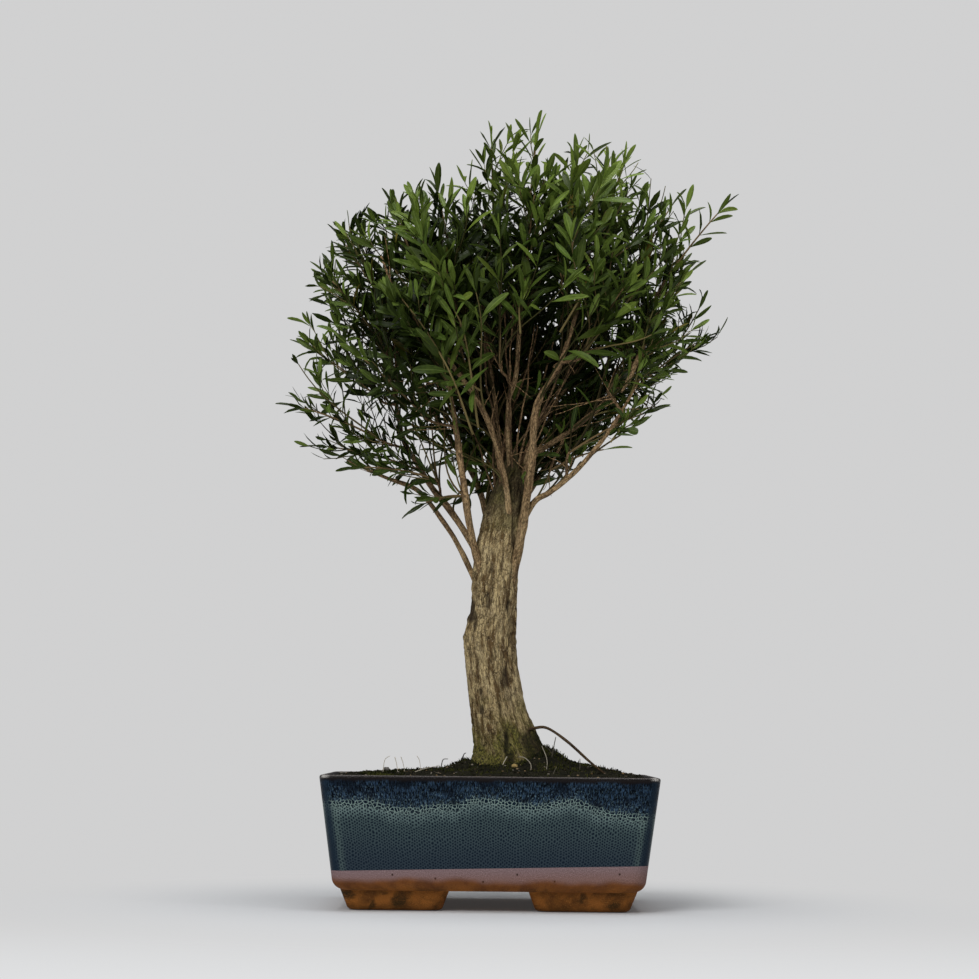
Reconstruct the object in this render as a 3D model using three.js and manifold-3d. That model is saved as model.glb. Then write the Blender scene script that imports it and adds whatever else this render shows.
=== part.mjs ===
import * as THREE from "three";
import { mergeVertices } from "three/addons/utils/BufferGeometryUtils.js";
import Module from "manifold-3d";

// A brush cherry bonsai in its glazed pot, in millimetres, +Z up and +Y away from the viewer.
// Until the last lines every place is measured from the ground under the foot of the tree.

const GAP = 0.3; // clearance kept between pieces that touch

const POT = {
  x: 2.7, // middle of the pot, beside the origin
  width: 250,
  depth: 190,
  height: 98.3,
  underside: 14.5,
  taper: 11, // how far each side draws in from the rim to the underside
  wall: 8,
  floorTop: 24,
  cornerRadius: 12,
  innerCorner: 4, // least corner radius of the inside
  edgeRadius: 8, // round under the lower edge
  rimRadius: 1.8,
  bevel: 3, // between the floor and the walls, inside
};

const FOOT = { outerX: 109, innerX: 29, outerY: 75, innerY: 24, taper: 5.5, cornerRadius: 9, sunk: 4 };

const DRAIN = { offsetX: 52, radius: 9, sides: 12, overrun: 4 };

const SCREEN = { side: 34, thickness: 1, windows: 2, bar: 4 };

const SOIL = {
  edgeHeight: 95.5,
  domeHeight: 4.5, // gentle rise from the edges
  moundHeight: 12,
  moundX: 32,
  moundY: 6,
  spreadX: 56,
  spreadY: 44,
  ripple: 0.9, // uneven surface, of one wave each way and half as much of a slanting wave
  waveX: 0.13,
  waveY: 0.16,
  phase: 1,
  slantX: 0.05,
  slantY: -0.21,
  rings: [0.86, 0.66, 0.46, 0.28], // of the surface, as shares of its edge
  rounding: 9, // how much rounder each ring is than the one outside it
};

const PEBBLE_RISE = 0.55; // middle of a pebble above the soil, as a share of its half height
const PEBBLE_BED = 1.3 * GAP; // how much larger its bed in the soil is, each way
const PEBBLES = [
  { name: "pebble_tan", x: 21, y: -36, size: [2.9, 2.6, 2.5], turn: 0.4, color: 0xb09a78 },
  { name: "pebble_grey", x: -78, y: 40, size: [4.2, 3.1, 2.6], turn: 1.3, color: 0x8d8a82 },
];

const TRUNK = { y: 2, sides: 10, flatness: 0.86 }; // flatness: depth beside width

// Height, left and right outline of the trunk, from the root ball to the stump inside the crown.
const TRUNK_OUTLINE = [
  [62, 4, 36],
  [92, -12, 54],
  [106, -11, 49],
  [122, -11, 41],
  [140, -12, 32],
  [158, -14, 27],
  [180, -17, 22],
  [202, -18, 20],
  [224, -14, 21],
  [248, -13, 23],
  [274, -10, 25],
  [296, -4, 28],
  [322, 1, 31],
  [343, 8, 30],
  [356, 14, 26],
];

// Shallow furrows that run up the trunk: how many, how deep, and how far they turn in 1 mm of height.
const FLUTES = [
  { count: 3, depth: 0.06, twist: 0.015 },
  { count: 5, depth: 0.04, twist: -0.02 },
];

// Thick roots that brace the foot of the trunk: compass angle, reach and radius.
const BRACE_ROOTS = [
  { angle: -0.35, reach: 58, radius: 8 },
  { angle: 0.95, reach: 50, radius: 7 },
  { angle: 2.35, reach: 46, radius: 7.5 },
  { angle: 3.7, reach: 50, radius: 7 },
  { angle: 4.75, reach: 40, radius: 6 },
];

// What they share: where they start, how flat their ring is, and their height by share of the reach.
const BRACE = {
  x: 16,
  flatness: 0.8,
  taper: 0.5,
  sides: 5,
  steps: 3,
  path: [{ share: 0.12, z: 132 }, { share: 0.5, z: 112 }, { share: 0.8, z: 96 }, { share: 1, z: 80 }],
};

// A thin root that runs over the mound to the right.
const SURFACE_ROOT = {
  path: [
    [24, -5, 131], [36, -10, 134], [46, -14, 134], [61, -23, 124],
    [79, -31, 108], [97, -36, 94], [102, -37, 88],
  ],
  thick: 1.3,
  thin: 0.9,
  sides: 4,
  steps: 8,
};

// Main limbs, from inside the trunk outwards, with their radius at both ends.
const LIMBS = {
  lowLeft: {
    thick: 2.2,
    thin: 1.5,
    path: [[-2, 2, 228], [-22, 6, 271], [-38, 9, 296], [-56, 12, 317], [-81, 14, 327], [-109, 15, 339]],
  },
  left: {
    thick: 2.8,
    thin: 1.8,
    path: [
      [2, 2, 246], [-16, 8, 280], [-30, 12, 301], [-45, 16, 320],
      [-57, 18, 339], [-68, 18, 359], [-77, 14, 401],
    ],
  },
  leftMain: {
    thick: 4.1,
    thin: 2.4,
    path: [
      [4, -2, 228], [-9, -8, 263], [-16, -13, 295], [-20, -15, 321],
      [-25, -18, 353], [-30, -20, 386], [-34, -22, 408],
    ],
  },
  frontArch: {
    thick: 3,
    thin: 1.7,
    path: [
      [16, -6, 286], [13, -14, 316], [5, -21, 349], [-8, -28, 379],
      [-31, -39, 410], [-69, -52, 455], [-84, -56, 488],
    ],
  },
  centreLeft: {
    thick: 2.2,
    thin: 1.5,
    path: [[12, 2, 302], [8, 6, 339], [5, 10, 375], [1, 14, 405], [-3, 18, 431], [-8, 24, 474]],
  },
  centre: {
    thick: 2.7,
    thin: 1.6,
    path: [
      [16, 0, 318], [14, -4, 355], [14, -6, 384], [19, -8, 403],
      [21, -10, 425], [22, -10, 448], [26, -9, 500],
    ],
  },
  rightMain: {
    thick: 5,
    thin: 2.1,
    path: [
      [16, -2, 240], [24, -9, 278], [28, -12, 304], [32, -15, 336],
      [36, -20, 381], [54, -26, 415], [71, -32, 472], [74, -34, 494],
    ],
  },
  rightBack: {
    thick: 2.3,
    thin: 1.6,
    path: [[20, 4, 312], [35, 12, 364], [52, 20, 390], [65, 26, 409], [73, 30, 422], [83, 36, 449]],
  },
  right: {
    thick: 2.9,
    thin: 2.1,
    path: [
      [18, 2, 296], [30, 6, 337], [37, 8, 347], [54, 11, 359],
      [70, 13, 371], [96, 14, 395], [115, 12, 425], [120, 12, 449],
    ],
  },
  lowRight: {
    thick: 3,
    thin: 1.8,
    path: [
      [16, -2, 270], [33, -8, 305], [46, -12, 314], [59, -16, 324],
      [74, -21, 339], [94, -26, 365], [114, -28, 400],
    ],
  },
  backLeft: {
    thick: 3.6,
    thin: 1.7,
    path: [[4, 6, 276], [-12, 34, 330], [-40, 66, 376], [-66, 84, 426]],
  },
  back: {
    thick: 3.8,
    thin: 1.7,
    path: [[8, 6, 286], [8, 40, 348], [2, 74, 398], [-4, 92, 452]],
  },
  backRight: {
    thick: 3.6,
    thin: 1.7,
    path: [[14, 6, 290], [42, 36, 336], [76, 64, 382], [96, 80, 432]],
  },
  topBack: {
    thick: 3.2,
    thin: 1.6,
    path: [[14, 6, 318], [16, 30, 410], [30, 44, 470], [38, 50, 524]],
  },
};
const LIMB_SIDES = 5;
const LIMB_STEPS = 5;

const TWIG = {
  thick: 1.7,
  thin: 1.1,
  sides: 3,
  steps: 2,
  pull: 0.36, // how much of its length it runs on with the limb, and with the spray
  bendCost: 1.9, // the smaller, the more a bend counts beside length when it chooses its fork
  forks: [0.42, 0.5, 0.58, 0.66, 0.74, 0.82, 0.9, 0.98], // along each limb
};

// The crown: shoots fan out from one point low in it, and their tips reach this far from its middle.
const FAN = new THREE.Vector3(8, 10, 318);
const CROWN = { x: 10, y: 14, z: 452, left: 158, right: 160, up: 150, down: 110, front: 104, back: 142 };

// The lower front of the crown is open.
const OPENING = { behindY: 20, aboveZ: 470 };

// Shoot tips that draw the outline, clockwise from the top.
const OUTLINE_TIPS = [
  [36, -6, 617],
  [70, 26, 603],
  [109, -4, 590],
  [150, 14, 560],
  [189, -8, 552],
  [164, -6, 500],
  [178, 22, 450],
  [136, -34, 384],
  [110, 22, 360],
  [-70, -18, 300],
  [-118, -24, 334],
  [-148, 16, 356],
  [-165, -10, 386],
  [-156, 22, 440],
  [-138, -16, 494],
  [-128, 28, 532],
  [-84, -6, 553],
  [-48, 22, 576],
  [-2, 8, 610],
];

// Shoot tips on the open side that faces the viewer.
const FRONT_TIPS = [
  [-70, -78, 462],
  [-40, -74, 498],
  [-62, -58, 536],
  [6, -70, 486],
  [34, -56, 560],
  [77, -62, 552],
  [112, -58, 486],
  [148, -40, 446],
  [-112, -62, 424],
];

const SPIRAL = { outer: 11, inner: 2, outerReach: 0.95, innerReach: 0.52, spacing: 50, draws: 60 };

// A spray: an angled green stem with side shoots, each ending in a leaf.
const SPRAY = {
  length: 62,
  lengthVaries: 0.1,
  share: 0.55, // the most of its way from the fan's centre that a spray takes up
  bow: 5,
  stem: { radius: 1.05, sides: 4, steps: 2 },
  shoots: [0.2, 0.41], // where the side shoots leave the stem
  shootLength: 0.5, // beside the stem's
  shootShorter: 0.08, // by which the next side shoot is shorter
  shootVaries: 0.12,
  shoot: { radius: 0.78, sides: 3, steps: 1 },
  spread: 0.68, // angle between a side shoot and the stem
  faceTries: [0, 1, 3, 2], // faces of the stem that a side shoot may leave from
  faceStep: 2, // faces between one side shoot and the next
};

const LEAF = {
  length: 23,
  lengthVaries: 0.14,
  width: 5.6,
  rib: 1.3, // thickness at the rib
  edgeRise: 0.4, // edges above the middle line, as a share of the rib
  droop: 2.4,
  spread: 0.62, // angle between a leaf and its stem
  sunk: 0.02, // how far a root passes the middle of its stem
  rings: [{ share: 0.34, width: 1, rib: 1 }, { share: 0.68, width: 0.8, rib: 0.8 }],
  tip: { share: 1, width: 0, rib: 0 },
};

// Where opposite leaves sit: near the end of the stem, along it, and on the side shoots.
const PAIRS = { stemEnd: 0.84, stem: 0.63, shoot: 0.62 };

// A leaf that would touch something spreads more or less, or stays shorter.
const LEAF_TRIES = [
  { spread: 1, length: 1 },
  { spread: 1.3, length: 0.95 },
  { spread: 0.75, length: 0.95 },
  { spread: 1.6, length: 0.85 },
  { spread: 1, length: 0.75 },
];

const SEED = 7;
const SALT = { stem: 1, shoot: 3, leaf: 40 }; // tells apart the draws for different lengths

const wasm = await Module();
wasm.setup();

function solidOf(geometry) {
  geometry.deleteAttribute("normal");
  geometry.deleteAttribute("uv");
  const merged = mergeVertices(geometry, 1e-3);
  return new wasm.Manifold(new wasm.Mesh({
    numProp: 3,
    vertProperties: new Float32Array(merged.attributes.position.array),
    triVerts: new Uint32Array(merged.index.array),
  }));
}

function geometryOf(solid) {
  const mesh = solid.getMesh();
  const geometry = new THREE.BufferGeometry();
  geometry.setAttribute("position", new THREE.BufferAttribute(new Float32Array(mesh.vertProperties), 3));
  geometry.setIndex(new THREE.BufferAttribute(new Uint32Array(mesh.triVerts), 1));
  geometry.computeVertexNormals();
  return geometry;
}

// Moves every vertex of a cylinder, cone or spindle. placeVertex gets the number of its ring,
// 0 or 1 for the axis or the skin, and its angle round the axis.
function reshape(geometry, steps, placeVertex) {
  const position = geometry.attributes.position;
  for (let i = 0; i < position.count; i++) {
    const ring = Math.round(position.getY(i) + steps / 2);
    const skin = Math.hypot(position.getX(i), position.getZ(i)) > 1e-6 ? 1 : 0;
    const point = placeVertex(ring, skin, Math.atan2(position.getX(i), position.getZ(i)));
    position.setXYZ(i, point.x, point.y, point.z);
  }
  return solidOf(geometry);
}

function tubeGeometry(sides, steps) {
  return new THREE.CylinderGeometry(1, 1, steps, sides, steps);
}

function coneGeometry(sides, steps, firstAngle = 0) {
  return new THREE.CylinderGeometry(0, steps, steps, sides, steps, false, firstAngle);
}

// Pointed at both ends, with its rings at even heights like the cylinder's.
function spindleGeometry(sides, steps) {
  const geometry = new THREE.SphereGeometry(1, sides, steps);
  const position = geometry.attributes.position;
  for (let i = 0; i < position.count; i++) {
    const ring = Math.round(Math.acos(-position.getY(i)) / Math.PI * steps);
    position.setY(i, ring - steps / 2);
  }
  geometry.rotateY(Math.PI / 2);
  return geometry;
}

// A round stem along a curve, cut off square at both ends.
function roundStem(curve, thick, thin, sides, steps) {
  const { normals, binormals } = curve.computeFrenetFrames(steps);
  return reshape(tubeGeometry(sides, steps), steps, (ring, skin, angle) => {
    const radius = skin * THREE.MathUtils.lerp(thick, thin, ring / steps);
    return curve.getPointAt(ring / steps)
      .addScaledVector(normals[ring], radius * Math.cos(angle))
      .addScaledVector(binormals[ring], radius * Math.sin(angle));
  });
}

const CORNER_POINTS = 4; // along each rounded corner

// A closed solid whose level sections are rounded rectangles, or follow heightAt where a ring has it.
function roundedLoft(rings) {
  const sides = 4 * CORNER_POINTS;
  const steps = rings.length - 1;
  return reshape(tubeGeometry(sides, steps), steps, (ring, skin, angle) => {
    const { z, heightAt = () => z, x = 0, y = 0, halfWidth, halfDepth, radius } = rings[ring];
    if (!skin) return new THREE.Vector3(x, y, heightAt(x, y));
    const side = (Math.round(angle / (2 * Math.PI) * sides) + sides) % sides;
    const corner = Math.floor(side / CORNER_POINTS);
    const turn = (corner + (side % CORNER_POINTS) / (CORNER_POINTS - 1)) * Math.PI / 2;
    const signX = corner === 0 || corner === 3 ? 1 : -1;
    const signY = corner < 2 ? 1 : -1;
    const pointX = x + signX * (halfWidth - radius) + radius * Math.cos(turn);
    const pointY = y + signY * (halfDepth - radius) + radius * Math.sin(turn);
    return new THREE.Vector3(pointX, pointY, heightAt(pointX, pointY));
  });
}

// Level section of the pot's outside, drawn in by inset.
function potSection(z, inset) {
  const draft = POT.taper * (POT.height - z) / (POT.height - POT.underside);
  return {
    z,
    x: POT.x,
    halfWidth: POT.width / 2 - draft - inset,
    halfDepth: POT.depth / 2 - draft - inset,
    radius: Math.max(POT.cornerRadius - inset, POT.innerCorner),
  };
}

// Quarter round from a level face into the side of the pot, in equal turns.
function quarterRound(levelZ, radius, turns, rising) {
  const rings = [];
  for (let i = 0; i <= turns; i++) {
    const angle = i / turns * Math.PI / 2;
    const inset = radius * (1 - Math.sin(angle));
    rings.push(potSection(levelZ + rising * radius * (1 - Math.cos(angle)), inset));
  }
  return rings;
}

function foot(signX, signY) {
  const slope = FOOT.taper / POT.underside;
  const ring = (z) => {
    const taper = slope * (POT.underside - z);
    const middleX = (FOOT.outerX + FOOT.innerX) / 2;
    const middleY = (FOOT.outerY + FOOT.innerY) / 2;
    return {
      z,
      x: POT.x + signX * middleX,
      y: signY * middleY,
      halfWidth: FOOT.outerX - middleX - taper,
      halfDepth: FOOT.outerY - middleY - taper,
      radius: FOOT.cornerRadius,
    };
  };
  return roundedLoft([ring(0), ring(POT.underside + FOOT.sunk)]);
}

function drainHole(signX) {
  const height = POT.floorTop;
  const hole = new THREE.CylinderGeometry(DRAIN.radius, DRAIN.radius, height, DRAIN.sides);
  hole.rotateX(Math.PI / 2);
  hole.translate(POT.x + signX * DRAIN.offsetX, 0, POT.underside + height / 2 - DRAIN.overrun);
  return solidOf(hole);
}

function potSolid() {
  const outside = roundedLoft([
    ...quarterRound(POT.underside, POT.edgeRadius, 3, 1),
    ...quarterRound(POT.height, POT.rimRadius, 2, -1).reverse(),
  ]);
  const inside = roundedLoft([
    potSection(POT.floorTop, POT.wall + POT.bevel),
    potSection(POT.floorTop + POT.bevel, POT.wall),
    potSection(POT.height - POT.rimRadius, POT.wall),
    potSection(POT.height + 1, POT.wall - POT.rimRadius),
  ]);
  let pot = outside.subtract(inside);
  for (const signX of [-1, 1]) {
    for (const signY of [-1, 1]) pot = pot.add(foot(signX, signY));
    pot = pot.subtract(drainHole(signX));
  }
  return pot;
}

// Square plate with square windows, laid over a drain hole.
function screenSolid(signX) {
  const pitch = (SCREEN.side - SCREEN.bar) / SCREEN.windows;
  const open = pitch - SCREEN.bar;
  const firstWindow = -pitch * (SCREEN.windows - 1) / 2;
  const level = POT.floorTop + GAP + SCREEN.thickness / 2;
  const sheet = new THREE.BoxGeometry(SCREEN.side, SCREEN.side, SCREEN.thickness);
  sheet.translate(POT.x + signX * DRAIN.offsetX, 0, level);
  let plate = solidOf(sheet);
  for (let column = 0; column < SCREEN.windows; column++) {
    for (let row = 0; row < SCREEN.windows; row++) {
      const window = new THREE.BoxGeometry(open, open, 2 * SCREEN.thickness);
      const windowX = POT.x + signX * DRAIN.offsetX + firstWindow + column * pitch;
      window.translate(windowX, firstWindow + row * pitch, level);
      plate = plate.subtract(solidOf(window));
    }
  }
  return plate;
}

// Room for a screen under the soil. It starts a little below the soil, so that it is open there.
function screenRecess(signX) {
  const side = SCREEN.side + 2 * GAP;
  const height = SCREEN.thickness + 2 * GAP;
  const below = 0.1;
  const recess = new THREE.BoxGeometry(side, side, height);
  recess.translate(POT.x + signX * DRAIN.offsetX, 0, POT.floorTop + GAP + height / 2 - below);
  return solidOf(recess);
}

function soilHeight(x, y) {
  const dome = (1 - ((x - POT.x) * 2 / POT.width) ** 4) * (1 - (y * 2 / POT.depth) ** 4);
  const outX = (x - SOIL.moundX) / SOIL.spreadX;
  const outY = (y - SOIL.moundY) / SOIL.spreadY;
  const mound = Math.exp(-outX * outX - outY * outY);
  const wave = Math.sin(x * SOIL.waveX + SOIL.phase) * Math.cos(y * SOIL.waveY);
  const slant = 0.5 * Math.sin(x * SOIL.slantX + y * SOIL.slantY);
  return SOIL.edgeHeight + SOIL.domeHeight * dome + SOIL.moundHeight * mound + SOIL.ripple * (wave + slant);
}

// Filling of the pot: straight sides up to its edge, then rings of the surface up to the middle.
function soilSolid() {
  const bottom = potSection(POT.floorTop + GAP, POT.wall + POT.bevel + GAP);
  const above = potSection(POT.floorTop + POT.bevel + GAP, POT.wall + GAP);
  const edge = potSection(SOIL.edgeHeight, POT.wall + GAP);
  const surface = SOIL.rings.map((share, i) => {
    const halfWidth = edge.halfWidth * share;
    const halfDepth = edge.halfDepth * share;
    const radius = Math.min(halfDepth, edge.radius + SOIL.rounding * (i + 1));
    return { heightAt: soilHeight, x: edge.x, halfWidth, halfDepth, radius };
  });
  return roundedLoft([bottom, above, edge, ...surface]);
}

// Height of a solid's top at one place, read from a thin column cut out of it.
function topAt(solid, x, y) {
  const side = 0.2;
  const column = new THREE.BoxGeometry(side, side, 4 * POT.height);
  column.translate(x, y, 0);
  return solid.intersect(solidOf(column)).boundingBox().max[2];
}

function pebbleSolid({ x, y, size, turn }, ground, swell = 0) {
  const stone = new THREE.IcosahedronGeometry(1, 0);
  stone.scale(...size.map((half) => half + swell));
  stone.rotateZ(turn);
  stone.translate(x, y, topAt(ground, x, y) + size[2] * PEBBLE_RISE);
  return solidOf(stone);
}

// The trunk, oval and slightly fluted, drawn through its outline. Swell widens it for its hole.
function trunkSolid(swell = 0) {
  const steps = TRUNK_OUTLINE.length - 1;
  return reshape(tubeGeometry(TRUNK.sides, steps), steps, (ring, skin, angle) => {
    const [z, left, right] = TRUNK_OUTLINE[ring];
    let flute = 1;
    for (const { count, depth, twist } of FLUTES) flute += depth * Math.sin(count * angle + twist * z);
    const radius = skin * ((right - left) / 2 * flute + swell);
    return new THREE.Vector3(
      (left + right) / 2 + radius * Math.cos(angle),
      TRUNK.y + radius * TRUNK.flatness * Math.sin(angle),
      z,
    );
  });
}

function curveThrough(path) {
  const points = path.map((point) => new THREE.Vector3(...point));
  return new THREE.CatmullRomCurve3(points, false, "catmullrom");
}

function braceRoot({ angle, reach, radius }, swell = 0) {
  const path = BRACE.path.map(({ share, z }) => {
    const out = reach * share;
    return [BRACE.x + out * Math.cos(angle), TRUNK.y + out * BRACE.flatness * Math.sin(angle), z];
  });
  const thin = radius * BRACE.taper;
  return roundStem(curveThrough(path), radius + swell, thin + swell, BRACE.sides, BRACE.steps);
}

function surfaceRoot(swell = 0) {
  const { path, thick, thin, sides, steps } = SURFACE_ROOT;
  return roundStem(curveThrough(path), thick + swell, thin + swell, sides, steps);
}

// Everything of the wood that reaches into the soil.
function rootedWood(swell) {
  return wasm.Manifold.union([
    trunkSolid(swell),
    surfaceRoot(swell),
    ...BRACE_ROOTS.map((root) => braceRoot(root, swell)),
  ]);
}

// A repeatable draw between -1 and 1 for one spray, shoot or leaf.
function vary(index, salt) {
  const wave = Math.sin(index * 12.9898 + salt * 78.233 + SEED) * 43758.5453;
  return (wave - Math.floor(wave)) * 2 - 1;
}

// Tips spread evenly over the crown by a golden spiral, where no tip stands near already.
function spiralTips(count, reach, taken) {
  const tips = [];
  for (let i = 0; i < SPIRAL.draws && tips.length < count; i++) {
    const rise = 1 - 2 * (i + 0.5) / SPIRAL.draws;
    const turn = i * Math.PI * (3 - Math.sqrt(5));
    const flat = Math.sqrt(1 - rise * rise);
    const x = flat * Math.cos(turn);
    const y = flat * Math.sin(turn);
    const tip = new THREE.Vector3(
      CROWN.x + reach * x * (x < 0 ? CROWN.left : CROWN.right),
      CROWN.y + reach * y * (y < 0 ? CROWN.front : CROWN.back),
      CROWN.z + reach * rise * (rise < 0 ? CROWN.down : CROWN.up),
    );
    const open = tip.y < OPENING.behindY && tip.z < OPENING.aboveZ;
    const near = [...taken, ...tips].some((other) => other.distanceTo(tip) < SPIRAL.spacing);
    if (!open && !near) tips.push(tip);
  }
  return tips;
}

function sprayTips() {
  const named = [...OUTLINE_TIPS, ...FRONT_TIPS].map((tip) => new THREE.Vector3(...tip));
  const outer = spiralTips(SPIRAL.outer, SPIRAL.outerReach, named);
  const inner = spiralTips(SPIRAL.inner, SPIRAL.innerReach, [...named, ...outer]);
  return [...named, ...outer, ...inner];
}

// A green shoot on a plane curve made of straight steps, with flat the direction square to that plane.
function shootThrough(base, middle, end, flat, { radius, sides, steps }) {
  return { curve: new THREE.QuadraticBezierCurve3(base, middle, end), flat, radius, sides, steps };
}

// Place, heading and the two directions across a shoot, at one of its joints.
function jointOf({ curve, flat, steps }, joint) {
  const heading = curve.getTangent(joint / steps);
  const over = new THREE.Vector3().crossVectors(heading, flat);
  return { place: curve.getPoint(joint / steps), heading, across: flat, over };
}

// The same inside a straight step, for whatever grows there.
function seatOn({ curve, flat, steps }, share) {
  const joint = Math.min(Math.floor(share * steps), steps - 1);
  const from = curve.getPoint(joint / steps);
  const to = curve.getPoint((joint + 1) / steps);
  const heading = to.clone().sub(from).normalize();
  const over = new THREE.Vector3().crossVectors(heading, flat);
  return { place: from.lerp(to, share * steps - joint), heading, across: flat, over };
}

function sideDirection(station, turn, spread) {
  return station.heading.clone().multiplyScalar(Math.cos(spread))
    .addScaledVector(station.across, Math.sin(spread) * Math.cos(turn))
    .addScaledVector(station.over, Math.sin(spread) * Math.sin(turn));
}

// Main stem of a spray, bowed so that its middle is lifted; the leaf at its end reaches the tip.
function mainShoot(tip, index) {
  const heading = tip.clone().sub(FAN).normalize();
  const room = (tip.distanceTo(FAN) - LEAF.length) * SPRAY.share;
  const length = Math.min(SPRAY.length, room) * (1 + SPRAY.lengthVaries * vary(index, SALT.stem));
  const end = tip.clone().addScaledVector(heading, -LEAF.length);
  const base = end.clone().addScaledVector(heading, -length);
  const lift = SPRAY.bow * Math.hypot(heading.x, heading.y);
  const middle = base.clone().lerp(end, 0.5).add(new THREE.Vector3(0, 0, lift));
  const flat = heading.clone().cross(new THREE.Vector3(0, 0, -1)).normalize();
  return shootThrough(base, middle, end, flat, SPRAY.stem);
}

// A stem's section has a corner below. Side shoots and leaves leave from the faces between its corners.
const FIRST_CORNER = -Math.PI / 2;

function faceTurn({ sides }, face) {
  return FIRST_CORNER + (face + 0.5) * 2 * Math.PI / sides;
}

function sideShoot(main, index, order, face) {
  const seat = seatOn(main, SPRAY.shoots[order]);
  const out = sideDirection(seat, faceTurn(main, face), SPRAY.spread);
  const mainLength = main.curve.v0.distanceTo(main.curve.v2);
  const share = SPRAY.shootLength - SPRAY.shootShorter * order;
  const length = mainLength * share * (1 + SPRAY.shootVaries * vary(index, SALT.shoot + order));
  const end = seat.place.clone().addScaledVector(out, length);
  const flat = seat.heading.clone().cross(out).normalize();
  return shootThrough(seat.place, seat.place.clone().lerp(end, 0.5), end, flat, SPRAY.shoot);
}

// One corner of a blade's three-sided section: two edges, and between them the rib below.
function bladeCorner(point, side, under, angle, width, rib) {
  const edgeAngle = Math.PI * 2 / 3;
  const sideways = width / 2 * Math.sin(angle) / Math.sin(edgeAngle);
  const ribShare = (Math.cos(angle) - Math.cos(edgeAngle)) / (1 - Math.cos(edgeAngle));
  const below = rib * (ribShare - LEAF.edgeRise);
  return point.addScaledVector(side, sideways).addScaledVector(under, below);
}

// A shoot with the leaf at its end, as one body whose section flattens into the blade.
function shootSolid(shoot) {
  const { steps, radius, sides } = shoot;
  const last = jointOf(shoot, steps);
  const under = last.over.clone().negate();
  const rings = steps + LEAF.rings.length + 1;
  return reshape(coneGeometry(sides, rings, FIRST_CORNER), rings, (ring, skin, angle) => {
    if (ring <= steps) {
      const { place, across, over } = jointOf(shoot, ring);
      return place
        .addScaledVector(across, skin * radius * Math.cos(angle))
        .addScaledVector(over, skin * radius * Math.sin(angle));
    }
    const { share, width, rib } = LEAF.rings[ring - steps - 1] ?? LEAF.tip;
    const point = last.place.clone().addScaledVector(last.heading, LEAF.length * share);
    point.z -= LEAF.droop * share ** 2;
    return bladeCorner(point, last.across, under, angle - FIRST_CORNER, LEAF.width * width, LEAF.rib * rib);
  });
}

// A side leaf, its root sunk in the stem.
function blade(shoot, t, turn, spread, length) {
  const seat = seatOn(shoot, t);
  const along = sideDirection(seat, turn, spread);
  const under = seat.heading.clone().negate().addScaledVector(along, Math.cos(spread)).normalize();
  const side = new THREE.Vector3().crossVectors(along, under);
  const outline = [{ share: -LEAF.sunk, width: 0, rib: 0 }, ...LEAF.rings, LEAF.tip];
  const size = length / LEAF.length;
  return reshape(spindleGeometry(3, 3), 3, (ring, skin, angle) => {
    const { share, width, rib } = outline[ring];
    const point = seat.place.clone().addScaledVector(along, length * share);
    point.z -= LEAF.droop * size * share * share;
    return bladeCorner(point, side, under, angle, LEAF.width * width * size, LEAF.rib * rib);
  });
}

function boxesMeet(a, b) {
  const first = a.boundingBox();
  const second = b.boundingBox();
  return [0, 1, 2].every((axis) => first.min[axis] < second.max[axis] && second.min[axis] < first.max[axis]);
}

function meets(solid, others) {
  return others.some((other) => boxesMeet(solid, other) && solid.intersect(other).volume() > 0);
}

// A place inside a limb, which is made of straight steps.
function placeInLimb(curve, share) {
  const joint = Math.floor(share * LIMB_STEPS);
  const from = curve.getPointAt(joint / LIMB_STEPS);
  const to = curve.getPointAt((joint + 1) / LIMB_STEPS);
  const heading = to.clone().sub(from).normalize();
  return { place: from.lerp(to, share * LIMB_STEPS - joint), heading };
}

// Joins a twig to the limb that can reach its spray most directly, at a fork of its own.
function twigTo(main, forks) {
  const { place: base, heading } = jointOf(main, 0);
  const end = base.clone().addScaledVector(heading, -GAP);
  let best = { cost: Infinity };
  for (const fork of forks) {
    const way = end.clone().sub(fork.place);
    const cost = way.length() * (TWIG.bendCost - way.clone().normalize().dot(fork.heading));
    if (!fork.taken && cost < best.cost) best = { cost, fork, length: way.length() };
  }
  best.fork.taken = true;
  const leave = best.fork.place.clone().addScaledVector(best.fork.heading, best.length * TWIG.pull);
  const arrive = end.clone().addScaledVector(heading, -best.length * TWIG.pull);
  return new THREE.CubicBezierCurve3(best.fork.place, leave, arrive, end);
}

function addPiece(group, name, solid, color, roughness) {
  const material = new THREE.MeshStandardMaterial({ color, roughness, metalness: 0, flatShading: true });
  const mesh = new THREE.Mesh(geometryOf(solid), material);
  mesh.name = name;
  group.add(mesh);
}

const limbs = Object.values(LIMBS).map(({ path, ...radii }) => ({ ...radii, curve: curveThrough(path) }));
const forks = limbs.flatMap(({ curve }) => TWIG.forks.map((share) => placeInLimb(curve, share)));
const mainShoots = sprayTips().map(mainShoot);

const wood = wasm.Manifold.union([
  rootedWood(0),
  ...limbs.map(({ curve, thick, thin }) => roundStem(curve, thick, thin, LIMB_SIDES, LIMB_STEPS)),
  ...mainShoots.map((main) => {
    return roundStem(twigTo(main, forks), TWIG.thick, TWIG.thin, TWIG.sides, TWIG.steps);
  }),
]);

const sprays = mainShoots.map((main) => ({ shoots: [main], stems: [shootSolid(main)], blades: [] }));

// A side shoot leaves from another face of the stem where it would cross something.
function addSideShoot(spray, index, order) {
  const strangers = [wood, ...spray.stems.slice(1)];
  for (const other of sprays) {
    if (other !== spray) strangers.push(...other.stems);
  }
  for (const face of SPRAY.faceTries) {
    const shoot = sideShoot(spray.shoots[0], index, order, face + SPRAY.faceStep * order + index);
    const solid = shootSolid(shoot);
    if (!meets(solid, strangers)) {
      spray.shoots.push(shoot);
      spray.stems.push(solid);
      return;
    }
  }
}

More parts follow.
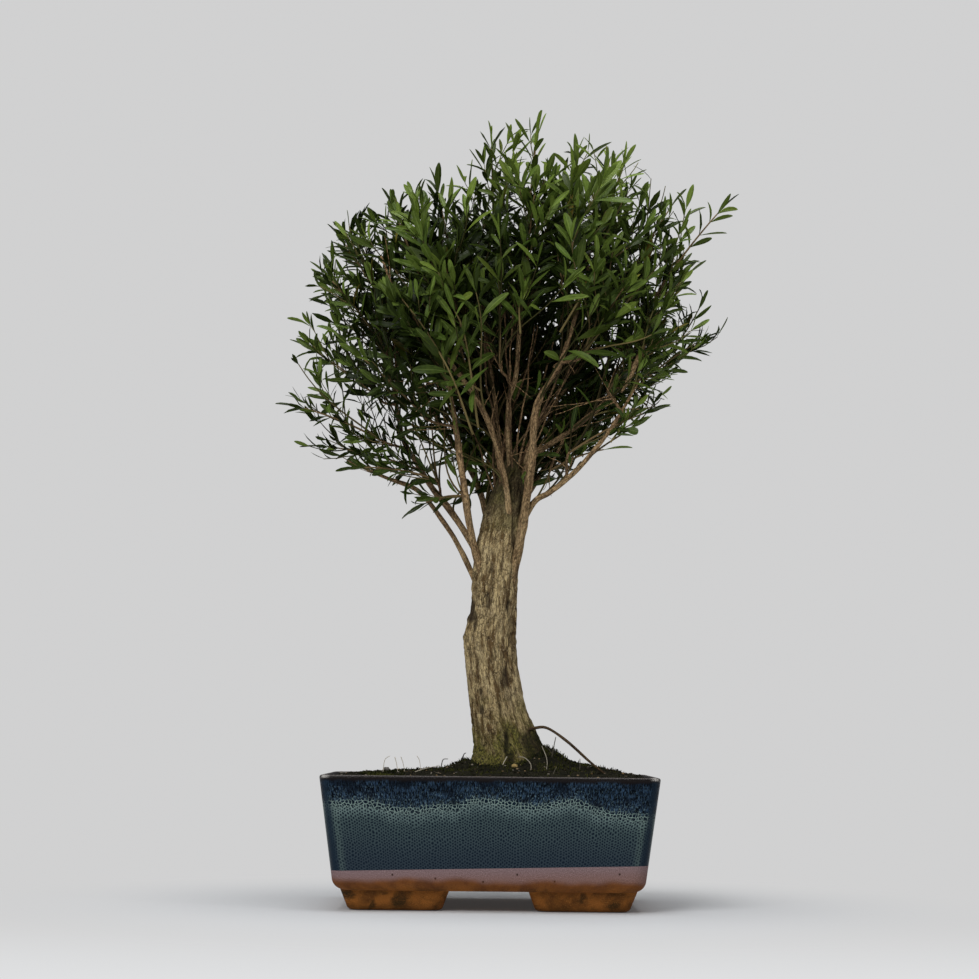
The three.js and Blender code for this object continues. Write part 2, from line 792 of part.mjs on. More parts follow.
// Leaves sit in opposite pairs, each pair turned from the next.
function leafSeats(spray, index) {
  const seats = [];
  const addPair = (order, t, face) => {
    const turn = faceTurn(spray.shoots[order], face);
    seats.push({ order, t, turn });
    seats.push({ order, t, turn: turn + Math.PI });
  };
  spray.shoots.forEach((shoot, order) => {
    addPair(order, order ? PAIRS.shoot : PAIRS.stemEnd, index + order);
  });
  addPair(0, PAIRS.stem, index + 1);
  return seats;
}

// What a leaf stays clear of: the wood, every stem but its own, and every leaf but its partner.
function strangersTo(spray, seat) {
  const strangers = [wood, ...spray.stems.filter((stem, order) => order !== seat.order)];
  for (const other of sprays) {
    if (other !== spray) strangers.push(...other.stems);
    for (const { order, t, leaf } of other.blades) {
      const partner = other === spray && order === seat.order && t === seat.t;
      if (!partner) strangers.push(leaf);
    }
  }
  return strangers;
}

function addLeaf(spray, seat, length) {
  const { order, t, turn } = seat;
  const strangers = strangersTo(spray, seat);
  for (const change of LEAF_TRIES) {
    const leaf = blade(spray.shoots[order], t, turn, LEAF.spread * change.spread, length * change.length);
    if (!meets(leaf, strangers)) {
      spray.blades.push({ order, t, leaf });
      return;
    }
  }
}

sprays.forEach((spray, index) => {
  SPRAY.shoots.forEach((start, order) => addSideShoot(spray, index, order));
});

const seats = sprays.map(leafSeats);
const mostSeats = Math.max(...seats.map((list) => list.length));
for (let round = 0; round < mostSeats; round++) {
  sprays.forEach((spray, index) => {
    const length = LEAF.length * (1 + LEAF.lengthVaries * vary(index, SALT.leaf + round));
    if (round < seats[index].length) addLeaf(spray, seats[index][round], length);
  });
}

const ground = soilSolid();
let soil = ground.subtract(rootedWood(GAP));
for (const signX of [-1, 1]) soil = soil.subtract(screenRecess(signX));
for (const pebble of PEBBLES) soil = soil.subtract(pebbleSolid(pebble, ground, PEBBLE_BED));

const bonsai = new THREE.Group();
addPiece(bonsai, "pot", potSolid(), 0x2f4a5c, 0.3);
addPiece(bonsai, "drain_screen_left", screenSolid(-1), 0x202020, 0.6);
addPiece(bonsai, "drain_screen_right", screenSolid(1), 0x202020, 0.6);
for (const pebble of PEBBLES) addPiece(bonsai, pebble.name, pebbleSolid(pebble, ground), pebble.color, 0.8);
addPiece(bonsai, "soil", soil, 0x2b2a1c, 0.95);
addPiece(bonsai, "trunk_and_limbs", wood, 0x7d6448, 0.85);
sprays.forEach(({ stems, blades }, index) => {
  const leafy = wasm.Manifold.union([...stems, ...blades.map(({ leaf }) => leaf)]);
  addPiece(bonsai, `spray_${String(index + 1).padStart(2, "0")}`, leafy, 0x3f6a2c, 0.5);
});

// The origin is the middle of the whole tree's footprint, on the ground.
const extent = new THREE.Box3().setFromObject(bonsai);
const middle = extent.getCenter(new THREE.Vector3());
bonsai.position.set(-middle.x, -middle.y, 0);

export default bonsai;
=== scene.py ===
import itertools
import math

import bpy
import numpy as np
from mathutils import Matrix, Vector


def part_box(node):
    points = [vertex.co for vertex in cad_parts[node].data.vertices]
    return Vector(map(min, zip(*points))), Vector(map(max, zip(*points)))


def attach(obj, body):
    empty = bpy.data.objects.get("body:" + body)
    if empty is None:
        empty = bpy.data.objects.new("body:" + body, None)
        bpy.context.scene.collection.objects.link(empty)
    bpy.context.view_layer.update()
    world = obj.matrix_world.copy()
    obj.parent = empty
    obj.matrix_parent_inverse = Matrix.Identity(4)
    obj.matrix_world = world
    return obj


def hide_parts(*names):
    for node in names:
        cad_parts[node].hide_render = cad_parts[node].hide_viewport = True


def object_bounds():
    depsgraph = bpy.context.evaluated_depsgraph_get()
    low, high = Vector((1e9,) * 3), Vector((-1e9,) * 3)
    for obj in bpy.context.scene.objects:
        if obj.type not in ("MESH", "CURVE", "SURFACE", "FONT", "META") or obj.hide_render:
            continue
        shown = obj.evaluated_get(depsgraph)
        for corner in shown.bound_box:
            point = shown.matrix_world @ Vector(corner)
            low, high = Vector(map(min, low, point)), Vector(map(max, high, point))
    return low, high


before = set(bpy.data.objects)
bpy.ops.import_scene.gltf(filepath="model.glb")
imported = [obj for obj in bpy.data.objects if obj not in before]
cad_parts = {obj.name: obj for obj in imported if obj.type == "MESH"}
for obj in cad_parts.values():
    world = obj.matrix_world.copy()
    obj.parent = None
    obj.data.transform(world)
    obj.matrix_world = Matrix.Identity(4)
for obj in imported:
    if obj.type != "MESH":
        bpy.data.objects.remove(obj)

bounds_at_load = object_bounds()

# Lengths are in millimetres from the ground under the foot of the tree. Skin.piece turns them into metres.
MM = 0.001
POT_X = 2.7
pot_low, pot_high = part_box("pot")
ORIGIN = np.array([(pot_low.x + pot_high.x) / 2 - POT_X * MM, (pot_low.y + pot_high.y) / 2, 0.0])
BOX_LOW = (np.array(bounds_at_load[0]) - ORIGIN) / MM
BOX_HIGH = (np.array(bounds_at_load[1]) - ORIGIN) / MM
UP = np.array([0.0, 0.0, 1.0])
SEED = 7

POT_WIDTH, POT_DEPTH, POT_HEIGHT = 250.0, 190.0, 98.3
POT_UNDERSIDE, POT_TAPER, FLOOR_TOP = 14.5, 11.0, 24.0
DRAIN_X, DRAIN_RADIUS = 52.0, 9.0
LEAF_LENGTH = 23.0


def unit(vectors):
    vectors = np.asarray(vectors, float)
    length = np.linalg.norm(vectors, axis=-1, keepdims=True)
    return vectors / np.maximum(length, 1e-9)


def smooth(value, low, high):
    share = np.clip((value - low) / (high - low), 0.0, 1.0)
    return share * share * (3 - 2 * share)


def joined(*columns):
    """The columns side by side along a last axis, each stretched to the shape of all."""
    return np.stack(np.broadcast_arrays(*columns), axis=-1)


def noise(points, seed=0):
    """Smooth noise between -1 and 1 at rows of three numbers."""
    points = np.asarray(points, float)
    cell = np.floor(points).astype(np.int64)
    part = points - cell
    part = part * part * (3 - 2 * part)
    total = np.zeros(points.shape[:-1])
    for corner in itertools.product((0, 1), repeat=3):
        place = cell + np.array(corner)
        code = place[..., 0] * 374761393 + place[..., 1] * 668265263 + place[..., 2] * 974634777
        code = (code + seed * 1442695041) & 0xFFFFFFFF
        code = ((code ^ (code >> 13)) * 1274126177) & 0xFFFFFFFF
        value = ((code ^ (code >> 16)) & 0xFFFF) / 32767.5 - 1
        weight = np.where(np.array(corner) == 1, part, 1 - part).prod(axis=-1)
        total += weight * value
    return total


def layered_noise(points, seed=0, layers=3):
    total = np.zeros(np.asarray(points).shape[:-1])
    for layer in range(layers):
        total += noise(np.asarray(points) * 2.0**layer, seed + layer) / 2.0**layer
    return total / (2 - 0.5 ** (layers - 1))


def wobbled(points, reach, scale, seed):
    """A path, pushed aside by noise between its two ends."""
    swell = np.sin(np.linspace(0, math.pi, len(points)))[:, None]
    aside = [noise(points * scale + shift, seed) for shift in (0.0, 40.0, 80.0)]
    return points + reach * swell * joined(*aside)


def run_along(path):
    """The length of the path up to each of its points."""
    return np.concatenate([[0], np.cumsum(np.linalg.norm(np.diff(path, axis=0), axis=1))])


def catmull_rom(points, count):
    """Evenly spaced places on the curve that the CAD source draws through its points."""
    points = np.asarray(points, float)
    padded = np.vstack([2 * points[0] - points[1], points, 2 * points[-1] - points[-2]])
    t = np.linspace(0, len(points) - 1, 400)
    first = np.minimum(t.astype(int), len(points) - 2)
    share = (t - first)[:, None]
    a, b, c, d = (padded[first + k] for k in range(4))
    dense = 0.5 * (
        2 * b + (c - a) * share + (2 * a - 5 * b + 4 * c - d) * share**2 + (3 * b - a - 3 * c + d) * share**3
    )
    run = run_along(dense)
    at = np.linspace(0, run[-1], count)
    return joined(*(np.interp(at, run, column) for column in dense.T))


def bezier(controls, count):
    t = np.linspace(0, 1, count)[:, None]
    rows = [np.broadcast_to(np.asarray(control, float), (count, 3)) for control in controls]
    while len(rows) > 1:
        rows = [a * (1 - t) + b * t for a, b in zip(rows, rows[1:])]
    return rows[0]


def carried_frames(path):
    """Heading and two directions across it, turned as little as possible along a path."""
    heading = unit(np.gradient(path, axis=0))
    first = UP if abs(heading[0] @ UP) < 0.9 else np.array([0.0, 1.0, 0.0])
    across = [unit(np.cross(heading[0], first))]
    for k in range(1, len(path)):
        side = across[-1] - heading[k] * (across[-1] @ heading[k])
        across.append(unit(side))
    across = np.array(across)
    return heading, across, np.cross(heading, across)


class Skin:
    """Gathers closed skins of quads. Points carry two triples of numbers, faces a place in an atlas."""

    def __init__(self):
        self.points, self.quads, self.place, self.look = [], [], [], []
        self.maps, self.cells, self.creases = [], [], []
        self.count, self.cell_count = 0, 0

    def add(self, points, quads, place, look, maps, crease=None, cells=1, cell_of=None):
        number = len(points)
        self.points.append(points)
        self.quads.append(quads + self.count)
        self.place.append(place)
        self.look.append(look)
        self.maps.append(maps)
        own = np.zeros(len(quads), int) if cell_of is None else cell_of
        self.cells.append(own + self.cell_count)
        self.creases.append(np.zeros(number, int) if crease is None else crease)
        self.count += number
        self.cell_count += cells

    def add_rings(self, points, place, look, is_loop=False):
        """A skin over closed rings. It covers both ends, or the last ring joins the first."""
        rings, sides = points.shape[:2]
        if is_loop:
            quads, maps = wall_quads(rings + 1, sides) % (rings * sides), wall_maps(rings + 1, sides)
        else:
            quads, maps = ring_quads(rings, sides), ring_maps(rings, sides)
        place, look = (np.broadcast_to(rows, points.shape).reshape(-1, 3) for rows in (place, look))
        self.add(points.reshape(-1, 3), quads, place, look, maps)

    def add_copies(self, points, place, look, crease=None):
        """Many skins of the same rings: the first axis counts them."""
        copies, rings, sides = points.shape[:3]
        one = ring_quads(rings, sides)
        quads = (one[None] + np.arange(copies)[:, None, None] * rings * sides).reshape(-1, 4)
        maps = np.tile(ring_maps(rings, sides), (copies, 1, 1))
        cell_of = np.repeat(np.arange(copies), len(one))
        place, look = (rows.reshape(-1, 3) for rows in (place, look))
        self.add(points.reshape(-1, 3), quads, place, look, maps, crease, copies, cell_of)

    def piece(self, name, material):
        points = np.clip(np.vstack(self.points), BOX_LOW, BOX_HIGH)
        quads = np.vstack(self.quads)
        mesh = bpy.data.meshes.new(name)
        mesh.vertices.add(len(points))
        mesh.vertices.foreach_set("co", (points * MM + ORIGIN).astype(np.float32).ravel())
        mesh.loops.add(quads.size)
        mesh.loops.foreach_set("vertex_index", quads.ravel().astype(np.int32))
        mesh.polygons.add(len(quads))
        mesh.polygons.foreach_set("loop_start", np.arange(0, quads.size, 4, dtype=np.int32))
        mesh.polygons.foreach_set("loop_total", np.full(len(quads), 4, np.int32))
        mesh.update(calc_edges=True)
        mesh.shade_smooth()
        for attribute, rows in (("place", self.place), ("look", self.look)):
            layer = mesh.attributes.new(attribute, "FLOAT_VECTOR", "POINT")
            layer.data.foreach_set("vector", np.vstack(rows).astype(np.float32).ravel())
        crease = np.concatenate(self.creases)
        if crease.any():
            ends = np.zeros(len(mesh.edges) * 2, np.int32)
            mesh.edges.foreach_get("vertices", ends)
            first, second = crease[ends.reshape(-1, 2)].T
            sharp = mesh.attributes.new("sharp_edge", "BOOLEAN", "EDGE")
            sharp.data.foreach_set("value", (first == second) & (first > 0))
        side = math.ceil(math.sqrt(self.cell_count))
        cells = np.concatenate(self.cells)
        corner = np.stack([cells % side, cells // side], axis=1)[:, None, :]
        atlas = (corner + 0.04 + 0.92 * np.vstack(self.maps)) / side
        layer = mesh.uv_layers.new(name="OFBake")
        layer.data.foreach_set("uv", atlas.astype(np.float32).ravel())
        mesh.materials.append(material)
        obj = bpy.data.objects.new(name, mesh)
        bpy.context.scene.collection.objects.link(obj)
        return obj


def wall_quads(rings, sides):
    """Faces between closed rings. They look out of rings that turn left."""
    ring, side = np.meshgrid(np.arange(rings - 1), np.arange(sides), indexing="ij")
    here = ring * sides + side
    beside = ring * sides + (side + 1) % sides
    return np.stack([here, beside, beside + sides, here + sides], axis=-1).reshape(-1, 4)


def wall_maps(rings, sides, width=1.0):
    ring, side = np.meshgrid(np.arange(rings - 1), np.arange(sides), indexing="ij")
    corners = [(0, 0), (1, 0), (1, 1), (0, 1)]
    maps = [
        np.stack([(side + across) / sides * width, (ring + along) / (rings - 1)], axis=-1)
        for across, along in corners
    ]
    return np.stack(maps, axis=2).reshape(-1, 4, 2)


def end_quads(sides):
    """A strip of faces over one ring."""
    k = np.arange(sides // 2 - 1)
    return np.stack([k, k + 1, sides - 2 - k, sides - 1 - k], axis=1)


def ring_quads(rings, sides):
    end = end_quads(sides)
    return np.vstack([wall_quads(rings, sides), end[:, ::-1], end + (rings - 1) * sides])


def ring_maps(rings, sides):
    """Atlas corners to go with ring_quads: walls unrolled on the left, ends as two discs on the right."""
    turn = np.arange(sides) * 2 * math.pi / sides
    disc = np.stack([0.93 + 0.05 * np.cos(turn), 0.25 + 0.2 * np.sin(turn)], axis=1)
    end = end_quads(sides)
    return np.vstack([wall_maps(rings, sides, 0.86), disc[end[:, ::-1]], disc[end] + (0, 0.5)])


def add_tube(skin, path, radius, sides, look, offset=0.0, relief=None, part=None):
    """A closed tube. Its place is the one on the unrolled stem, or the part where the caller gives one."""
    path = np.asarray(path, float)
    radius = np.broadcast_to(radius, (len(path),)).astype(float)[:, None]
    _, across, over = carried_frames(path)
    turn = np.arange(sides) * 2 * math.pi / sides
    out = across[:, None] * np.cos(turn)[None, :, None] + over[:, None] * np.sin(turn)[None, :, None]
    run = run_along(path)[:, None] + offset
    flat = joined(radius * np.cos(turn), radius * np.sin(turn), run)
    reach = np.broadcast_to(radius, flat.shape[:2])
    if relief is not None:
        reach = reach + relief(flat, reach)
    points = path[:, None] + out * reach[..., None]
    skin.add_rings(points, flat if part is None else part, np.asarray(look, float).reshape(-1, 1, 3))


# Shares along a leaf, the widths and the depths of the rib there, and places across it.
FINE_LEAF = (
    np.array([0.0, 0.06, 0.19, 0.38, 0.60, 0.81, 0.95, 1.0]),
    np.array([0.11, 0.13, 0.50, 0.88, 1.0, 0.80, 0.40, 0.05]),
    np.array([0.30, 0.30, 0.26, 0.22, 0.19, 0.15, 0.11, 0.06]),
    np.array([-1.0, -0.52, 0.0, 0.52, 1.0]),
)
PLAIN_LEAF = (
    np.array([0.0, 0.10, 0.40, 0.74, 1.0]),
    np.array([0.11, 0.22, 0.95, 0.88, 0.05]),
    np.array([0.30, 0.28, 0.22, 0.15, 0.06]),
    np.array([-1.0, 0.0, 1.0]),
)
LEAF_UNDERSIDE = 0.35


def add_leaves(skin, form, base, along, up, length, width, droop, fold, twist, look):
    """Closed leaf blades on short stalks, folded at the midrib and bent back along their length."""
    shares, widths, ribs, columns = form
    count, rows, sides = len(base), len(shares), len(columns) + 1
    up = unit(up - along * (up * along).sum(-1, keepdims=True))
    side = np.cross(along, up)
    droop = np.where(np.abs(droop) < 1e-3, 1e-3, droop)[:, None]
    bend = droop * shares
    forward = length[:, None] * np.sin(bend) / droop
    sink = length[:, None] * (1 - np.cos(bend)) / droop
    centre = base[:, None] + along[:, None] * forward[..., None] - up[:, None] * sink[..., None]
    normal = up[:, None] * np.cos(bend)[..., None] + along[:, None] * np.sin(bend)[..., None]
    wring = (twist[:, None] * shares)[..., None]
    cross = side[:, None] * np.cos(wring) + normal * np.sin(wring)
    face = normal * np.cos(wring) - side[:, None] * np.sin(wring)
    half = (width[:, None] / 2 * widths)[..., None, None]
    lift = np.abs(columns)[None, None, :, None] * half * np.sin(fold)[:, None, None, None]
    wide = columns[None, None, :, None] * half * np.cos(fold)[:, None, None, None]
    top = centre[:, :, None] + cross[:, :, None] * wide + face[:, :, None] * lift
    under = centre - face * ribs[None, :, None]
    points = np.concatenate([top, under[:, :, None]], axis=2)
    place = np.zeros(points.shape)
    place[..., 0] = shares[None, :, None]
    place[..., 1] = np.concatenate([columns, [0.0]])[None, None, :]
    place[..., -1, 2] = LEAF_UNDERSIDE
    crease = np.zeros((count, rows, sides), int)
    crease[..., 0] = 1
    crease[..., -2] = 2
    skin.add_copies(points, place, np.repeat(look, rows * sides, axis=0), crease.reshape(-1))


class Shader:
    """A material's nodes. Its methods return sockets, and take sockets, numbers or triples."""

    def __init__(self, name, roughness=0.6, specular=0.5):
        self.material = bpy.data.materials.new(name)
        self.material.use_nodes = True
        self.tree = self.material.node_tree
        self.surface = self.tree.nodes["Principled BSDF"]
        self.surface.inputs["Roughness"].default_value = roughness
        self.surface.inputs["Specular IOR Level"].default_value = specular

    def plug(self, socket, value):
        if isinstance(value, bpy.types.NodeSocket):
            self.tree.links.new(value, socket)
        elif isinstance(value, (tuple, list)) and len(value) == 3 and socket.type == "RGBA":
            socket.default_value = (*value, 1.0)
        else:
            socket.default_value = value

    def node(self, kind, settings=(), **inputs):
        node = self.tree.nodes.new(kind)
        for key, value in dict(settings).items():
            setattr(node, key, value)
        for key, value in inputs.items():
            self.plug(node.inputs[key], value)
        return node

    def attribute(self, name):
        node = self.node("ShaderNodeAttribute", {"attribute_name": name})
        split = self.node("ShaderNodeSeparateXYZ", Vector=node.outputs["Vector"])
        return node.outputs["Vector"], split.outputs

    def math(self, operation, *values):
        node = self.node("ShaderNodeMath", {"operation": operation})
        for socket, value in zip(node.inputs, values):
            self.plug(socket, value)
        return node.outputs[0]

    def times(self, a, b):
        return self.math("MULTIPLY", a, b)

    def plus(self, a, b):
        return self.math("ADD", a, b)

    def minus(self, a, b):
        return self.math("SUBTRACT", a, b)

    def vector_math(self, operation, *values):
        node = self.node("ShaderNodeVectorMath", {"operation": operation})
        for socket, value in zip(node.inputs, values):
            self.plug(socket, value)
        is_number = operation in ("DISTANCE", "DOT_PRODUCT", "LENGTH")
        return node.outputs["Value" if is_number else "Vector"]

    def noise(self, vector, by=None, scale=1.0, detail=3.0, roughness=0.55):
        """Noise at the vector, which is first multiplied by three numbers where they are given."""
        if by:
            vector = self.vector_math("MULTIPLY", vector, by)
        node = self.node("ShaderNodeTexNoise", Vector=vector, Scale=scale, Detail=detail, Roughness=roughness)
        return node.outputs["Fac"]

    def warped(self, vector, scale, reach):
        """The vector, shifted by noise of a given scale."""
        shift = self.node("ShaderNodeTexNoise", Vector=vector, Scale=scale).outputs["Color"]
        return self.vector_math("MULTIPLY_ADD", shift, reach, vector)

    def walls(self, vector, scale, randomness=1.0, dimensions="3D"):
        """How far the vector is from the walls of irregular cells."""
        settings = {"voronoi_dimensions": dimensions, "feature": "DISTANCE_TO_EDGE"}
        node = self.node("ShaderNodeTexVoronoi", settings, Vector=vector, Scale=scale, Randomness=randomness)
        return node.outputs["Distance"]

    def step(self, value, low, high, to_low=0.0, to_high=1.0):
        node = self.node("ShaderNodeMapRange", {"interpolation_type": "SMOOTHSTEP"})
        for socket, number in zip(node.inputs, (value, low, high, to_low, to_high)):
            self.plug(socket, number)
        return node.outputs["Result"]

    def mix(self, factor, a, b, blend="MIX"):
        node = self.node("ShaderNodeMix", {"data_type": "RGBA", "blend_type": blend})
        self.plug(node.inputs[0], factor)
        self.plug(node.inputs[6], a)
        self.plug(node.inputs[7], b)
        return node.outputs[2]

    def layered(self, base, *layers):
        """The base under layers, each a value, the range in which it counts, the cover there and a colour."""
        for value, low, high, to_low, to_high, colour in layers:
            base = self.mix(self.step(value, low, high, to_low, to_high), base, colour)
        return base

    def bump(self, height, strength, distance):
        node = self.node("ShaderNodeBump", Height=height, Strength=strength, Distance=distance)
        self.tree.links.new(node.outputs["Normal"], self.surface.inputs["Normal"])

    def colour(self, value):
        self.plug(self.surface.inputs["Base Color"], value)


def leaf_material():
    """Reads along, across and stem from "place", and tone, youth and light from "look"."""
    shader = Shader("leaf", 0.45, 0.1)
    place, (_, across, stem) = shader.attribute("place")
    _, (tone, youth, light) = shader.attribute("look")
    dark, middle, young = (0.008, 0.018, 0.004), (0.050, 0.094, 0.017), (0.17, 0.24, 0.040)
    olive, rust = (0.092, 0.104, 0.018), (0.15, 0.085, 0.020)
    rib, edge = (0.17, 0.23, 0.07), (0.16, 0.21, 0.06)
    spots = shader.noise(place, (6.0, 2.5, 0.0), detail=2.0)
    apart = shader.math("ABSOLUTE", across)
    blade = shader.mix(tone, dark, middle)
    blade = shader.layered(blade, (tone, 0.70, 1.0, 0.0, 0.55, olive), (tone, 1.02, 1.10, 0.0, 1.0, rust))
    blade = shader.mix(youth, blade, young)
    blade = shader.layered(
        blade,
        (spots, 0.35, 0.75, 0.0, 0.35, shader.mix(0.5, blade, young)),
        (spots, 0.30, 0.48, 0.45, 0.0, dark),
        (apart, 0.04, 0.15, 0.5, 0.0, rib),
        (apart, 0.86, 1.0, 0.0, 0.25, edge),
    )
    bark = shader.mix(youth, (0.12, 0.075, 0.042), (0.13, 0.16, 0.045))
    paint = shader.mix(shader.step(stem, 0.5, 0.9), blade, bark)
    shade = shader.mix(shader.step(light, 0.08, 0.80), (0.24, 0.26, 0.19), (1.34, 1.32, 1.18))
    shader.colour(shader.mix(1.0, paint, shade, "MULTIPLY"))
    shader.plug(shader.surface.inputs["Roughness"], shader.step(stem, 0.5, 0.9, 0.42, 0.65))
    return shader.material


def bark_material():
    """Reads an unrolled place in millimetres from "place", and dark marks with painted shade, moss and limb
    from "look".
    """
    shader = Shader("bark", 0.8, 0.2)
    place, _ = shader.attribute("place")
    _, (marks_and_shade, moss, limb) = shader.attribute("look")
    streaks = shader.noise(place, (0.30, 0.30, 0.065), detail=4.0, roughness=0.60)
    fine = shader.noise(place, (1.0, 1.0, 0.45), detail=4.0, roughness=0.7)
    broad = shader.noise(place, (0.07, 0.07, 0.035))
    strands = shader.noise(place, (0.62, 0.62, 0.055), roughness=0.6)
    bent = shader.warped(place, 0.22, (5.0, 5.0, 9.0))
    cracks = []
    for across, along, width in ((0.23, 0.095, 0.055), (0.55, 0.26, 0.06)):
        walls = shader.walls(shader.vector_math("MULTIPLY", bent, (across, across, along)), 1.0)
        cracks.append(shader.step(walls, 0.0, width, 1.0, 0.0))
    crack = shader.times(cracks[0], shader.step(broad, 0.30, 0.55, 0.95, 0.55))
    hair = shader.times(cracks[1], 0.5)
    apart = shader.math("ABSOLUTE", shader.minus(strands, 0.5))
    fissure = shader.times(shader.step(apart, 0.0, 0.050, 1.0, 0.0), shader.step(fine, 0.36, 0.54))
    base = shader.layered(
        shader.mix(shader.step(streaks, 0.38, 0.58), (0.130, 0.080, 0.030), (0.55, 0.425, 0.215)),
        (broad, 0.50, 0.66, 0.0, 0.55, (0.62, 0.50, 0.28)),
        (broad, 0.32, 0.44, 0.8, 0.0, (0.100, 0.058, 0.022)),
        (fine, 0.34, 0.50, 0.75, 0.0, (0.060, 0.035, 0.014)),
    )
    base = shader.mix(shader.times(fissure, 0.95), base, (0.030, 0.017, 0.006))
    base = shader.mix(hair, base, (0.055, 0.032, 0.014))
    base = shader.mix(crack, base, (0.026, 0.015, 0.007))
    base = shader.layered(base, (fine, 0.58, 0.70, 0.0, 0.65, (0.84, 0.69, 0.44)))
    twig = shader.layered(
        shader.mix(shader.step(fine, 0.36, 0.62), (0.040, 0.022, 0.009), (0.405, 0.255, 0.125)),
        (streaks, 0.36, 0.50, 0.6, 0.0, (0.040, 0.026, 0.014)),
        (fine, 0.62, 0.74, 0.0, 0.8, (0.70, 0.52, 0.32)),
    )
    base = shader.mix(limb, base, twig)
    # Dark marks on the trunk, and painted shade on limbs further back, on stems and on the trunk's right
    # flank.
    base = shader.mix(marks_and_shade, base, (0.020, 0.012, 0.006))
    green = shader.mix(shader.step(fine, 0.38, 0.64), (0.007, 0.009, 0.002), (0.190, 0.176, 0.030))
    green = shader.mix(shader.times(marks_and_shade, 0.8), green, (0.005, 0.006, 0.002))
    cover = shader.times(moss, shader.step(broad, 0.36, 0.56, 0.35, 1.0))
    shader.colour(shader.mix(cover, base, green))
    height = shader.minus(shader.plus(shader.times(streaks, 1.6), fine), shader.times(crack, 0.8))
    shader.bump(height, 0.9, 0.0008)
    return shader.material


# Height of the lower edge of the glaze in the middle of the front, and how much it rises to the right.
GLAZE_LINE, GLAZE_TILT = 31.8, 0.025
PIN_HOLES = ((-74.0, 26.5), (25.0, 27.5), (55.0, 22.8), (106.0, 28.5), (-2.0, 22.0), (-40.0, 24.0))
# Dark stains on the feet: place along the foot and across its height, and reach.
FOOT_STAINS = ((-113, 8, 9), (-153, 11, 6), (-132, 3, 4), (20, 10, 5), (44, 5, 6))
# Height of the wavy edge between the two glazes, by the way round the pot from the middle of its front.
GLAZE_EDGE = (
    (-306, 78), (-250, 75), (-200, 81), (-150, 76), (-118, 79.6), (-103, 79.6), (-88, 80.5), (-78, 77),
    (-66, 74.5), (-51, 75.3), (-38, 78), (-25, 77), (-11, 83), (4, 82), (16, 80.5), (26, 78.5), (40, 78.3),
    (51, 81), (60, 83), (70, 80.5), (80, 75.3), (93, 73.6), (106, 72.5), (115, 71.3), (150, 76), (190, 80),
    (230, 75), (300, 81), (360, 74), (430, 79), (552, 76),
)
SPOT_PITCH = 2.25


def honeycomb(shader, vector, pitch):
    """1 in round spots that lie in a triangular pattern and 0 in the net between them."""
    wave = 2 * math.pi / (pitch * math.cos(math.pi / 6))
    total = 0.0
    for turn in (0, 2 * math.pi / 3, 4 * math.pi / 3):
        way = (wave * math.cos(turn), wave * math.sin(turn), 0.0)
        total = shader.plus(shader.math("COSINE", shader.vector_math("DOT_PRODUCT", vector, way)), total)
    return shader.step(total, -0.6, 1.0)


